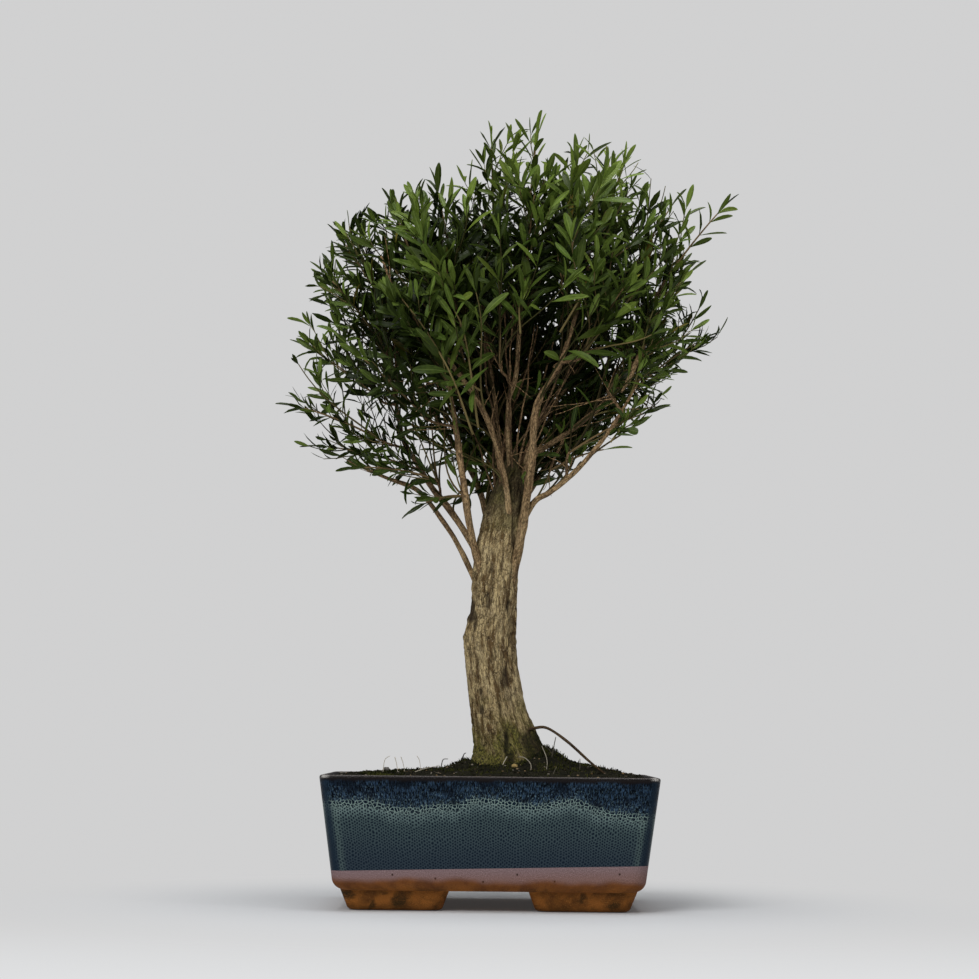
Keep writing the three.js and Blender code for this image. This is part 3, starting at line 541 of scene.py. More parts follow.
def drip_glaze(shader, flat, height, edge_height, corner, grain):
    """Navy that drips over a pale net of cells, with darker corners and a bare rim, a painted highlight along
    the lip and painted glints at its corners, and the net by itself.
    """
    cloud = shader.noise(flat, scale=0.06, roughness=0.6)
    drip = shader.noise(flat, (0.50, 0.05, 0.0), roughness=0.7)
    edge = shader.plus(edge_height, shader.times(shader.minus(drip, 0.6), 13.0))
    over_edge = shader.minus(height, edge)

    mottle = shader.noise(flat, (1.0, 0.22, 0.0), roughness=0.75)
    fleck = shader.noise(flat, (1.7, 0.55, 0.0), detail=2.0, roughness=0.6)
    navy = shader.mix(shader.step(mottle, 0.45, 0.63), (0.000, 0.001, 0.003), (0.025, 0.052, 0.095))
    bright = shader.times(shader.step(over_edge, 14.0, 0.0, 0.25, 1.0), shader.step(fleck, 0.54, 0.66))
    navy = shader.mix(bright, navy, (0.13, 0.21, 0.25))
    navy = shader.layered(navy, (cloud, 0.36, 0.50, 0.75, 0.0, (0.002, 0.004, 0.008)))

    bent = shader.warped(shader.warped(flat, 0.09, (5.0, 5.0, 0.0)), 0.45, (1.1, 1.1, 0.0))
    spots = honeycomb(shader, bent, SPOT_PITCH)
    walls = shader.walls(bent, 0.41, 0.85, "2D")
    crest = shader.step(over_edge, -5.5, -1.5)
    net = shader.mix(crest, shader.minus(1.0, spots), shader.step(walls, 0.03, 0.15, 1.0, 0.0))
    depth = shader.step(height, 32.0, shader.minus(edge, 4.0))
    top = shader.times(shader.step(over_edge, -14.0, 0.0), shader.step(cloud, 0.38, 0.60, 0.6, 1.0))
    crest_paint = shader.times(crest, shader.step(grain, 0.40, 0.60, 0.35, 1.0))
    pale = shader.mix(depth, (0.030, 0.045, 0.059), (0.055, 0.085, 0.088))
    pale = shader.mix(top, pale, (0.165, 0.235, 0.230))
    pale = shader.mix(crest_paint, pale, (0.27, 0.37, 0.335))
    dots = shader.mix(depth, (0.006, 0.013, 0.024), (0.003, 0.009, 0.018))
    glaze = shader.mix(net, dots, pale)
    net_covered = shader.mix(net, (1.0, 1.0, 1.0), shader.step(over_edge, 0.0, 5.0, 0.60, 1.0))
    glaze = shader.mix(shader.times(shader.step(over_edge, 0.0, 3.0), net_covered), glaze, navy)

    strip = shader.times(shader.step(corner, 4.0, 8.5, 1.0, 0.0), 0.85)
    glaze = shader.mix(strip, glaze, shader.mix(mottle, (0.002, 0.005, 0.012), (0.016, 0.034, 0.056)))
    streak = shader.times(shader.step(corner, 6.5, 8.5), shader.step(corner, 9.0, 14.0, 0.30, 0.0))
    streak = shader.times(streak, shader.step(over_edge, 1.0, -3.0))
    streak = shader.times(streak, shader.step(shader.plus(net, mottle), 0.6, 1.3, 0.25, 1.0))
    glaze = shader.mix(streak, glaze, (0.13, 0.19, 0.17))

    flow = shader.noise(flat, (0.055, 0.03, 0.0), roughness=0.5)
    over_rim = shader.minus(height, shader.plus(90.0, shader.times(flow, 6.0)))
    glaze = shader.layered(glaze, (over_rim, 0.0, 3.0, 0.0, 1.0, (0.008, 0.006, 0.006)))
    # Painted highlight: a pale broken line along the top of the lip.
    lip_highlight = shader.times(shader.step(height, 97.5, 98.2), shader.step(grain, 0.35, 0.60, 0.15, 0.7))
    glaze = shader.mix(lip_highlight, glaze, (0.24, 0.21, 0.20))
    glint = shader.times(shader.step(corner, 3.5, 9.0, 1.0, 0.0), shader.step(height, 95.5, 97.0))
    glaze = shader.mix(shader.times(glint, shader.step(grain, 0.40, 0.55)), glaze, (0.55, 0.53, 0.50))
    return glaze, net


def bare_slip(shader, flat, over_line, grain):
    """The pinkish band under the glaze, with its pin holes."""
    slip = shader.layered(
        shader.mix(shader.step(over_line, -11.0, 0.0), (0.245, 0.140, 0.118), (0.255, 0.178, 0.186)),
        (grain, 0.38, 0.56, 0.75, 0.0, (0.120, 0.070, 0.066)),
        (grain, 0.56, 0.66, 0.0, 0.75, (0.40, 0.29, 0.29)),
    )
    for hole_x, hole_z in PIN_HOLES:
        apart = shader.vector_math("DISTANCE", flat, (hole_x - POT_X, hole_z, 0.0))
        slip = shader.layered(slip, (apart, 0.4, 1.2, 0.9, 0.0, (0.02, 0.008, 0.004)))
    return slip


def bare_clay(shader, flat, height, grain, ragged):
    """The orange-brown clay of the foot, with its stains, up to the ragged edge of the slip."""
    tone = shader.noise(flat, scale=0.05, detail=5.0, roughness=0.6)
    clay = shader.layered(
        shader.mix(shader.step(tone, 0.35, 0.62), (0.105, 0.042, 0.012), (0.300, 0.110, 0.024)),
        (grain, 0.54, 0.68, 0.0, 0.6, (0.48, 0.22, 0.065)),
        (grain, 0.34, 0.47, 0.65, 0.0, (0.060, 0.024, 0.007)),
    )
    stain = shader.noise(flat, (0.055, 0.10, 0.0), detail=5.0, roughness=0.65)
    stain = shader.times(shader.step(stain, 0.52, 0.68), shader.step(height, 16.0, 12.0, 0.10, 0.65))
    clay = shader.mix(stain, clay, (0.028, 0.021, 0.008))
    blurred = shader.warped(flat, 0.16, (9.0, 9.0, 0.0))
    for stain_x, stain_z, reach in FOOT_STAINS:
        apart = shader.vector_math("DISTANCE", blurred, (stain_x + 4.5, stain_z + 4.5, 0.0))
        stain = shader.step(apart, reach * 0.3, reach, 0.9, 0.0)
        stain = shader.times(stain, shader.step(grain, 0.62, 0.40, 0.5, 1.0))
        clay = shader.mix(stain, clay, (0.020, 0.017, 0.008))
    return shader.layered(
        clay,
        # Painted shade: the clay gets darker towards the bottom of the feet.
        (height, 7.0, 0.0, 0.0, 0.5, (0.050, 0.022, 0.006)),
        (height, ragged, shader.minus(ragged, 7.0), 0.55, 0.0, (0.115, 0.040, 0.018)),
    )


def pot_material():
    """Reads place round the pot, height and inside from "place", and edge, corner and east from "look"."""
    shader = Shader("glazed clay", 0.32, 0.05)
    place, (_, height, inside) = shader.attribute("place")
    _, (edge_height, corner, east) = shader.attribute("look")
    flat = shader.vector_math("MULTIPLY", place, (1.0, 1.0, 0.0))
    grain = shader.noise(flat, scale=1.3, detail=4.0, roughness=0.75)
    glaze, net = drip_glaze(shader, flat, height, edge_height, corner, grain)
    over_line = shader.minus(height, shader.plus(GLAZE_LINE, shader.times(east, GLAZE_TILT)))
    bare = shader.step(over_line, -0.35, 0.0, 1.0, 0.0)
    wave = shader.noise(flat, (0.035, 0.015, 0.0), detail=1.0, roughness=0.4)
    ragged = shader.plus(shader.plus(13.5, shader.times(wave, 10.0)), shader.times(grain, 2.0))
    slip, clay = bare_slip(shader, flat, over_line, grain), bare_clay(shader, flat, height, grain, ragged)
    foot = shader.mix(shader.step(height, ragged, shader.plus(ragged, 5.5)), clay, slip)
    inner = shader.mix(grain, (0.02, 0.013, 0.010), (0.06, 0.036, 0.024))
    shader.colour(shader.mix(inside, shader.mix(bare, glaze, foot), inner))
    shader.plug(shader.surface.inputs["Roughness"], shader.mix(bare, (0.30, 0.30, 0.30), (0.62, 0.62, 0.62)))
    shader.plug(shader.surface.inputs["Specular IOR Level"], shader.step(height, 94.0, 97.5, 0.04, 0.16))
    shader.bump(shader.plus(shader.times(net, 0.5), shader.times(grain, bare)), 0.35, 0.0003)
    return shader.material


def ground_material(name, dark, light, scale=900.0):
    shader = Shader(name, 0.95, 0.15)
    coordinates = shader.node("ShaderNodeTexCoord").outputs["Object"]
    grain = shader.noise(coordinates, scale=scale, detail=4.0, roughness=0.7)
    broad = shader.noise(coordinates, scale=scale * 0.12)
    tone = shader.mix(shader.step(grain, 0.35, 0.7), dark, light)
    shader.colour(shader.layered(tone, (broad, 0.45, 0.62, 0.0, 0.6, dark)))
    shader.bump(grain, 0.5, 0.0008)
    return shader.material


# How the tree is laid out, as in the CAD source.
TRUNK_MIDDLE_Y, TRUNK_FLATNESS = 2.0, 0.86
# Height, left and right of the trunk.
TRUNK_OUTLINE = (
    (62, 4, 36), (92, -12, 54), (106, -11, 49), (122, -11, 41), (140, -12, 32), (158, -14, 27),
    (180, -17, 22), (202, -18, 20), (224, -14, 21), (248, -13, 23), (274, -10, 25), (296, -4, 28),
    (318, 3, 28), (336, 9, 24), (348, 13, 20),
)
FLUTES = ((3, 0.06, 0.015), (5, 0.04, -0.02))
BRACE_ROOTS = ((-0.35, 58, 8), (0.95, 50, 7), (2.35, 46, 7.5), (3.7, 50, 7), (4.75, 40, 6))
BRACE_SHARES = ((80, 1.0), (96, 0.8), (112, 0.5), (132, 0.12))
SURFACE_ROOT = (
    (24, -5, 131), (36, -10, 134), (46, -14, 134), (61, -23, 124), (79, -31, 108), (97, -36, 94),
    (102, -37, 88),
)
# First and last radius of each limb, and its path.
RIGHT_MAIN = 5.0
LIMBS = (
    (2.2, 1.5, ((-2, 2, 228), (-22, 6, 271), (-38, 9, 296), (-56, 12, 317), (-81, 14, 327), (-109, 15, 339))),
    (2.8, 1.8, (
        (2, 2, 246), (-16, 8, 280), (-30, 12, 301), (-45, 16, 320), (-57, 18, 339), (-68, 18, 359),
        (-77, 14, 401),
    )),
    (4.1, 2.4, (
        (4, -2, 228), (-9, -8, 263), (-16, -13, 295), (-20, -15, 321), (-25, -18, 353), (-30, -20, 386),
        (-34, -22, 408),
    )),
    (3.0, 1.7, (
        (16, -6, 286), (13, -14, 316), (5, -21, 349), (-8, -28, 379), (-31, -39, 410), (-69, -52, 455),
        (-84, -56, 488),
    )),
    (2.2, 1.5, ((12, 2, 302), (8, 6, 339), (5, 10, 375), (1, 14, 405), (-3, 18, 431), (-8, 24, 474))),
    (2.7, 1.6, (
        (16, 0, 318), (14, -4, 355), (14, -6, 384), (19, -8, 403), (21, -10, 425), (22, -10, 448),
        (26, -9, 500),
    )),
    (RIGHT_MAIN, 2.1, (
        (16, -2, 240), (24, -9, 278), (28, -12, 304), (32, -15, 336), (36, -20, 381), (54, -26, 415),
        (71, -32, 472), (74, -34, 494),
    )),
    (2.3, 1.6, ((20, 4, 312), (35, 12, 364), (52, 20, 390), (65, 26, 409), (73, 30, 422), (83, 36, 449))),
    (2.9, 2.1, (
        (18, 2, 296), (30, 6, 337), (37, 8, 347), (54, 11, 359), (70, 13, 371), (96, 14, 395),
        (115, 12, 425), (120, 12, 449),
    )),
    (3.0, 1.8, (
        (16, -2, 270), (33, -8, 305), (46, -12, 314), (59, -16, 324), (74, -21, 339), (94, -26, 365),
        (114, -28, 400),
    )),
    (3.6, 1.7, ((4, 6, 276), (-12, 34, 330), (-40, 66, 376), (-66, 84, 426))),
    (3.8, 1.7, ((8, 6, 286), (8, 40, 348), (2, 74, 398), (-4, 92, 452))),
    (3.6, 1.7, ((14, 6, 290), (42, 36, 336), (76, 64, 382), (96, 80, 432))),
    (3.2, 1.6, ((14, 6, 318), (16, 30, 410), (30, 44, 470), (38, 50, 524))),
)
LIMB_STEPS = 5
TWIG_THICK, TWIG_THIN, TWIG_PULL, TWIG_BEND_COST = 1.35, 0.85, 0.36, 1.9
TWIG_FORKS = (0.42, 0.5, 0.58, 0.66, 0.74, 0.82, 0.9, 0.98)
GAP = 0.3

FAN = np.array([8.0, 10.0, 318.0])
CROWN_MIDDLE = np.array([10.0, 14.0, 452.0])
CROWN_REACH = np.array([(158, 160), (104, 142), (110, 150)], float)
OUTLINE_TIPS = (
    (36, -6, 617), (70, 26, 603), (109, -4, 590), (150, 14, 560), (189, -8, 552), (164, -6, 500),
    (178, 22, 450), (136, -34, 384), (110, 22, 360), (-70, -18, 300), (-118, -24, 334),
    (-148, 16, 356), (-165, -10, 386), (-156, 22, 440), (-138, -16, 494), (-128, 28, 532),
    (-84, -6, 553), (-48, 22, 576), (-2, 8, 610),
)
FRONT_TIPS = (
    (-70, -78, 462), (-40, -74, 498), (-62, -58, 536), (6, -70, 486), (34, -56, 560),
    (77, -62, 552), (112, -58, 486), (148, -40, 446), (-112, -62, 424),
)
SPIRAL_DRAWS, SPIRAL_SPACING = 60, 50.0
SPRAY_LENGTH, SPRAY_VARIES, SPRAY_SHARE, SPRAY_BOW = 62.0, 0.1, 0.55, 5.0


def vary(index, salt):
    """The CAD source's repeatable draw between -1 and 1."""
    wave = math.sin(index * 12.9898 + salt * 78.233 + SEED) * 43758.5453
    return (wave - math.floor(wave)) * 2 - 1


def crown_axes(way):
    """The half axes of the crown on the side that the way points to."""
    return np.where(way < 0, CROWN_REACH[:, 0], CROWN_REACH[:, 1])


def spiral_tips(count, reach, taken):
    tips = []
    for i in range(SPIRAL_DRAWS):
        rise = 1 - 2 * (i + 0.5) / SPIRAL_DRAWS
        turn = i * math.pi * (3 - math.sqrt(5))
        flat = math.sqrt(1 - rise * rise)
        way = np.array([flat * math.cos(turn), flat * math.sin(turn), rise])
        tip = CROWN_MIDDLE + reach * way * crown_axes(way)
        is_open = tip[1] < 20 and tip[2] < 470
        near = any(np.linalg.norm(tip - other) < SPIRAL_SPACING for other in [*taken, *tips])
        if len(tips) < count and not is_open and not near:
            tips.append(tip)
    return tips


def spray_tips():
    named = [np.array(tip, float) for tip in OUTLINE_TIPS + FRONT_TIPS]
    outer = spiral_tips(11, 0.95, named)
    inner = spiral_tips(2, 0.52, [*named, *outer])
    return [*named, *outer, *inner]


def main_shoot(tip, index):
    """Base, middle and end of the curve of a spray's main stem."""
    heading = unit(tip - FAN)
    room = (np.linalg.norm(tip - FAN) - LEAF_LENGTH) * SPRAY_SHARE
    length = min(SPRAY_LENGTH, room) * (1 + SPRAY_VARIES * vary(index, 1))
    end = tip - heading * LEAF_LENGTH
    base = end - heading * length
    middle = (base + end) / 2 + UP * SPRAY_BOW * math.hypot(heading[0], heading[1])
    return base, middle, end


def fork_places():
    forks = []
    for _, _, path in LIMBS:
        joints = catmull_rom(path, LIMB_STEPS + 1)
        for share in TWIG_FORKS:
            joint = int(share * LIMB_STEPS)
            heading = unit(joints[joint + 1] - joints[joint])
            place = joints[joint] + (joints[joint + 1] - joints[joint]) * (share * LIMB_STEPS - joint)
            forks.append({"place": place, "heading": heading, "taken": False})
    return forks


def twig_controls(shoot, forks):
    base, middle, end = shoot
    heading = unit(middle - base)
    arrival = base - heading * GAP
    best, best_cost = None, math.inf
    for fork in forks:
        way = arrival - fork["place"]
        cost = np.linalg.norm(way) * (TWIG_BEND_COST - unit(way) @ fork["heading"])
        if not fork["taken"] and cost < best_cost:
            best, best_cost = fork, cost
    best["taken"] = True
    way = arrival - best["place"]
    length = np.linalg.norm(way)
    toward = unit(way)
    leave_pull, arrive_pull = (
        TWIG_PULL * (0.3 + 0.7 * max(0.0, toward @ end)) for end in (best["heading"], heading)
    )
    leave = best["place"] + best["heading"] * length * leave_pull
    arrive = arrival - heading * length * arrive_pull
    return best["place"], leave, arrive, arrival


# Outline of the crown as the viewer sees it, on the plane y = 0: height, left and right.
CROWN_OUTLINE = np.array(
    [
        (280, -60, 30), (295, -69, 35), (313, -72, 50), (328, -109, 62), (344, -139, 76), (359, -160, 98),
        (383, -167, 136), (406, -160, 144), (422, -158, 170), (446, -156, 186), (462, -149, 184),
        (485, -139, 160), (509, -131, 154), (525, -130, 158), (541, -103, 150), (557, -73, 134),
        (573, -55, 118), (589, -16, 112), (601, -14, 77), (608, -4, 54), (615, 19, 46), (622, 22, 46),
    ],
    float,
)
CAMERA_AWAY, CAMERA_HEIGHT = 1925, 127
# The spray that stands out of this outline.
OUTER_SPRIG = 4
# Share of the leaves that others shade, and what is left of their light.
SHADED_SHARE, SHADED_LIGHT = 0.30, 0.40
# Share of the leaves that stay in front of the limbs, and their least light.
WINDOW_SHARE, WINDOW_LIGHT = 0.22, 0.75
RUST_SHARE, RUST_TONE = 0.012, 1.2
# Leaves with less light or further back are built with fewer faces.
FINE_LIGHT, FINE_BACK = 0.30, 45
END_LEAF_SHARE = 0.6
STEM_PART = (0, 0, 1)
SHOOT_RINGS, SPRAY_RINGS, FILL_RINGS, TWIG_RINGS = 7, 13, 15, 25


def inside_outline(points, margin=0.0):
    nearer = CAMERA_AWAY / (CAMERA_AWAY + points[..., 1])
    x = points[..., 0] * nearer
    z = CAMERA_HEIGHT + (points[..., 2] - CAMERA_HEIGHT) * nearer
    left = np.interp(z, CROWN_OUTLINE[:, 0], CROWN_OUTLINE[:, 1])
    right = np.interp(z, CROWN_OUTLINE[:, 0], CROWN_OUTLINE[:, 2])
    return (x > left - margin) & (x < right + margin) & (z < CROWN_OUTLINE[-1, 0] + margin)


def leaf_size_at(places):
    """Leaves are longest on top and in front, but on the airy left side the front ones are not made longer.
    """
    x, y, z = places[..., 0], places[..., 1], places[..., 2]
    high = smooth(z, 440, 560)
    front = smooth(-y, 20, 70)
    left = smooth(-x, 70, 130) * (1 - smooth(z, 430, 500))
    return 0.90 + 0.22 * high + 0.36 * front * (1 - left) + 0.04 * left


def depth_of(place):
    """0 in the middle of the crown and 1 on its outside."""
    way = place - CROWN_MIDDLE
    return float(np.linalg.norm(way / crown_axes(way)))


def leaf_light(place, rng):
    """Painted light of a leaf: painted shade darkens leaves inside the crown, low down, at its back, on the
    left and in whole patches, a painted highlight brightens some outer leaves, and a share are painted as
    shaded by others.
    """
    out = float(smooth(depth_of(place), 0.55, 1.0))
    low = float(smooth(place[2], 320, 560))
    back = float(smooth(place[1], 80, 10))
    patch = float(smooth(noise(place / 26.0, 62), -0.45, 0.35))
    share = (0.10 + 0.90 * out) * (0.35 + 0.65 * low) * (0.35 + 0.65 * back) * (0.30 + 0.70 * patch)
    share *= 1 - 0.25 * float(smooth(-place[0], 20, 70))
    share *= 1 + 0.9 * float(smooth(noise(place / 3.5, 63), 0.0, 0.3)) * out
    if rng.uniform() < SHADED_SHARE:
        share *= SHADED_LIGHT
    return float(np.clip(1.30 * share + rng.normal(0, 0.13), 0, 1))


def fullness(place):
    """Less than 1 where the crown lets the sky through: on top, low on the left and at the right edge."""
    high = float(smooth(place[2], 505, 570))
    left = float(smooth(-place[0], 45, 105) * (1 - smooth(place[2], 425, 485)))
    right = float(smooth(place[0], 120, 160))
    low = float(1 - smooth(place[2], 350, 405))
    return max(0.32, 0.95 - 0.66 * high - 0.42 * left - 0.25 * right - 0.48 * low)


# The space in front of the limbs, where mostly bare stems stand: height, left and right.
WINDOW = np.array(
    [(270, -40, 60), (340, -46, 78), (380, -44, 104), (420, -34, 104), (452, -10, 72), (474, 22, 36)]
)


def in_window(place):
    left, right = (np.interp(place[2], WINDOW[:, 0], WINDOW[:, side]) for side in (1, 2))
    return bool(place[1] < 16 and left < place[0] < right and place[2] < WINDOW[-1, 0])


# Long shoots that stand out in front: leaf size, light and the places along the stem.
FRONT_SHOOTS = (
    (29.0, 0.95, ((22, -56, 430), (21, -60, 446), (21, -62, 456))),
    (28.0, 0.85, ((-9, -50, 359), (-20, -62, 427), (-32, -66, 453), (-41, -68, 475))),
    (27.0, 0.80, ((-13, -48, 354), (-29, -66, 395), (-49, -74, 429), (-67, -76, 452))),
    (30.0, 0.90, ((-8, -46, 388), (-16, -56, 391), (-22, -60, 391))),
    (27.0, 0.85, ((52, -52, 432), (70, -58, 463), (82, -60, 490))),
    (22.0, 0.75, ((92, -24, 352), (99, -24, 361), (106, -24, 365))),
)


class Growth:
    """Collects the leaves of one piece before they are built together."""

    def __init__(self, rng):
        self.rng = rng
        self.rows = ([], [])
        self.is_free = False
        self.least_light = 0.0

    def leaf(self, base, along, up, length, width, youth, droop=None, always=False):
        rng = self.rng
        along = unit(along)
        tip = base + along * length
        in_box = (tip > BOX_LOW + 0.5).all() and (tip < BOX_HIGH - 0.5).all()
        before_limbs = in_window(tip)
        is_drawn = inside_outline(tip, rng.uniform(-3, 5)) and (
            rng.uniform() < WINDOW_SHARE or not before_limbs
        )
        if not always and not (in_box and (is_drawn or self.is_free)):
            return
        least = WINDOW_LIGHT if before_limbs else self.least_light
        light = max(leaf_light(base + along * length * 0.6, rng), least * rng.uniform(0.5, 1.1))
        is_fine = always or (light > FINE_LIGHT and base[1] < FINE_BACK)
        # Painted shade: leaves on the left side of the crown get a darker tone.
        left_shade = 1 - 0.35 * float(smooth(-base[0], 20, 70))
        droop = rng.uniform(-0.15, 0.70) if droop is None else droop
        fold, twist = rng.uniform(0.10, 0.50), rng.normal(0, 0.4)
        tone = RUST_TONE if rng.uniform() < RUST_SHARE else rng.uniform(0, 1) ** 1.2 * left_shade
        row = (base, along, up, length, width, droop, fold, twist, (tone, youth, light))
        self.rows[0 if is_fine else 1].append(row)

    def build(self, skin):
        for form, rows in zip((FINE_LEAF, PLAIN_LEAF), self.rows):
            if rows:
                add_leaves(skin, form, *(np.array(column, float) for column in zip(*rows)))


def turned(across, over, angle):
    return across * math.cos(angle) + over * math.sin(angle)


def add_pair(growth, place, heading, across, turn, spread, size, youth, odd=0.0):
    """Two opposite leaves. They lean away from the shoot and turn their faces outwards and up."""
    rng = growth.rng
    over = np.cross(heading, across)
    outwards = unit((place - CROWN_MIDDLE) / CROWN_REACH[:, 0])
    for half in (0.0, math.pi):
        if rng.uniform() < odd:
            continue
        angle = turn + half + rng.normal(0, 0.25)
        out = turned(across, over, angle)
        lean = spread + rng.normal(0, 0.20)
        along = heading * math.cos(lean) + out * math.sin(lean) + UP * rng.uniform(-0.05, 0.12)
        face = heading * 0.5 - out * 0.25 + outwards * rng.uniform(0.1, 1.2) + UP * rng.uniform(0.0, 0.6)
        length = size * rng.uniform(0.70, 1.2)
        growth.leaf(place + out * 0.4, along, face, length, length * rng.uniform(0.18, 0.26), youth)


def leaf_path(growth, path, first, spacing, size, youth, odd=0.08):
    """Pairs of leaves along the last part of a stem, smaller and steeper to its end, and one at the end."""
    rng = growth.rng
    heading, across, _ = carried_frames(path)
    run = run_along(path)
    start = run[-1] * first
    count = max(1, round((run[-1] - start) / spacing))
    turn = rng.uniform(0, math.pi)
    for k in range(count):
        at = (k + 0.3) / count
        reached = start + (run[-1] - start) * at
        row = min(int(np.searchsorted(run, reached, side="right")) - 1, len(path) - 2)
        share = (reached - run[row]) / (run[row + 1] - run[row])
        place = path[row] * (1 - share) + path[row + 1] * share
        green = float(np.clip(youth + 0.15 * at**2, 0, 1))
        spread, length = 0.98 - 0.42 * at, size * (1 - 0.2 * at**3)
        add_pair(growth, place, heading[row], across[row], turn, spread, length, green, odd)
        turn += math.pi / 2 + rng.normal(0, 0.2)
    end, ahead, side = path[-1], heading[-1], across[-1]
    add_pair(growth, end, ahead, side, turn, 0.42, size * 0.8, min(1.0, youth + 0.2))
    if rng.uniform() < END_LEAF_SHARE:
        length = size * rng.uniform(0.45, 0.8)
        growth.leaf(end, ahead, side + UP * 0.5, length, size * 0.15, min(1, youth + 0.25))


def add_shoot(skin, growth, base, heading, length, bend, size, youth, radius):
    """A side shoot that curves up to the light."""
    rng = growth.rng
    pull = unit(UP + 0.5 * unit(base - FAN))
    share = np.linspace(0, 1, SHOOT_RINGS)[:, None]
    path = base + heading * length * share + pull * length * bend * share**2
    path = path + rng.normal(0, 0.35, path.shape) * share
    if not inside_outline(path, 2.0).all() or in_window(path[-1]):
        return
    look = (0.5, 0.25 + 0.5 * youth, leaf_light(path[SHOOT_RINGS // 2], rng))
    add_tube(skin, path, np.linspace(radius, radius * 0.55, SHOOT_RINGS), 4, look, part=STEM_PART)
    leaf_path(growth, path, 0.15, rng.uniform(8.5, 11.5), size, youth)


def grow_spray(index, shoot, twig, skin):
    """One spray on its main shoot, with more shoots along the twig that bears it."""
    rng = np.random.default_rng(SEED * 1000 + index)
    growth = Growth(rng)
    base, middle, end = shoot
    path = bezier(shoot, SPRAY_RINGS)
    heading, across, over = carried_frames(path)
    outer = float(smooth(depth_of(end), 0.55, 0.95))
    fresh = float(rng.uniform(0.0, 0.30) * outer + rng.uniform(0.0, 0.4) * smooth(end[2], 510, 585))
    size = LEAF_LENGTH * float(leaf_size_at(end))
    ahead = unit(end - middle)
    growth.is_free = index == OUTER_SPRIG
    growth.leaf(end, ahead, unit(UP - ahead * (UP @ ahead)), LEAF_LENGTH, 5.4, fresh + 0.2, 0.2, True)
    add_tube(skin, path, np.linspace(0.95, 0.55, SPRAY_RINGS), 6, (0.5, 0.1, 0.8), part=STEM_PART)
    leaf_path(growth, path, 0.0, 9.0 + 5.0 * (1 - fullness(end)), size, fresh, 0.0)
    length = np.linalg.norm(end - base)
    count = max(4, round(length / 8.5))
    crowd = 0.25 if index == OUTER_SPRIG else 0.72 * fullness(end)
    turn = rng.uniform(0, math.pi)
    last = SPRAY_RINGS - 1
    for k in range(count):
        at = 0.85 * (k + 0.4) / count
        row = min(int(at * last), last - 1)
        place = path[row] + (path[row + 1] - path[row]) * (at * last - row)
        for half in (0.0, math.pi):
            if rng.uniform() > crowd:
                continue
            angle = turn + half + rng.normal(0, 0.3)
            out = turned(across[row], over[row], angle)
            lean = rng.uniform(0.45, 1.0)
            way = unit(heading[row] * math.cos(lean) + out * math.sin(lean) + UP * 0.15)
            reach = length * rng.uniform(0.40, 0.85) * (1 - 0.5 * at)
            own = size * rng.uniform(0.8, 1.0)
            bend, green = rng.uniform(0.1, 0.5), fresh * rng.uniform(0.5, 1.5)
            add_shoot(skin, growth, place, way, reach, bend, own, green, 0.55)
        turn += math.pi / 2 + rng.normal(0, 0.15)
    path = bezier(twig, TWIG_RINGS)
    heading, across, over = carried_frames(path)
    for row in (11, 14, 17, 20, 23):
        out = turned(across[row], over[row], rng.uniform(0, 2 * math.pi))
        way = unit(heading[row] * 0.8 + out * 0.7 + UP * 0.25)
        reach, own = rng.uniform(20, 42), size * rng.uniform(0.7, 0.95)
        add_shoot(skin, growth, path[row], way, reach, 0.25, own, 0.0, 0.5)
    growth.build(skin)


SHOOT_DRAWS, SHOOT_SPACING, SHOOT_GROUPS = 8000, 23.0, 8
LOW_LEFT = ((-162, -45, 318), (-70, 50, 430))
BEHIND_LIMBS = ((-30, 20, 368), (104, 84, 485))


def shoot_ends(taken):
    """Ends of the shoots that fill the crown between the sprays, evenly spaced."""
    rng = np.random.default_rng(SEED * 3000)
    places = [np.asarray(place) for place in taken]
    ends = []
    for _ in range(SHOOT_DRAWS):
        way = unit(rng.normal(0, 1, 3))
        end = CROWN_MIDDLE + way * crown_axes(way) * rng.uniform(0.06, 1.0) ** 0.45
        choice = rng.uniform()
        if choice < 0.20:
            end = rng.uniform(*(LOW_LEFT if choice < 0.08 else BEHIND_LIMBS))
        recess = 9 * float(smooth(noise(end / 17.0, 61), -0.1, 0.5))
        if end[2] < 322 + 0.14 * abs(end[0] - 10) or in_window(end) or not inside_outline(end, -4 - recess):
            continue
        apart = SHOOT_SPACING / fullness(end) + 10 * float(smooth(end[1], 60, 100))
        if end[1] < 70 and in_window(np.array([end[0], 0.0, end[2]])):
            apart = 12.0
        if min(np.linalg.norm(np.array(places) - end, axis=1)) < apart:
            continue
        places.append(end)
        ends.append(end)
    return ends


def wood_places():
    """Places and headings along all limbs and twigs."""
    curves = [catmull_rom(path, 60)[8:] for _, _, path in LIMBS]
    curves += [bezier(twig, TWIG_RINGS)[3:] for twig in twigs]
    return np.vstack(curves), np.vstack([unit(np.gradient(curve, axis=0)) for curve in curves])


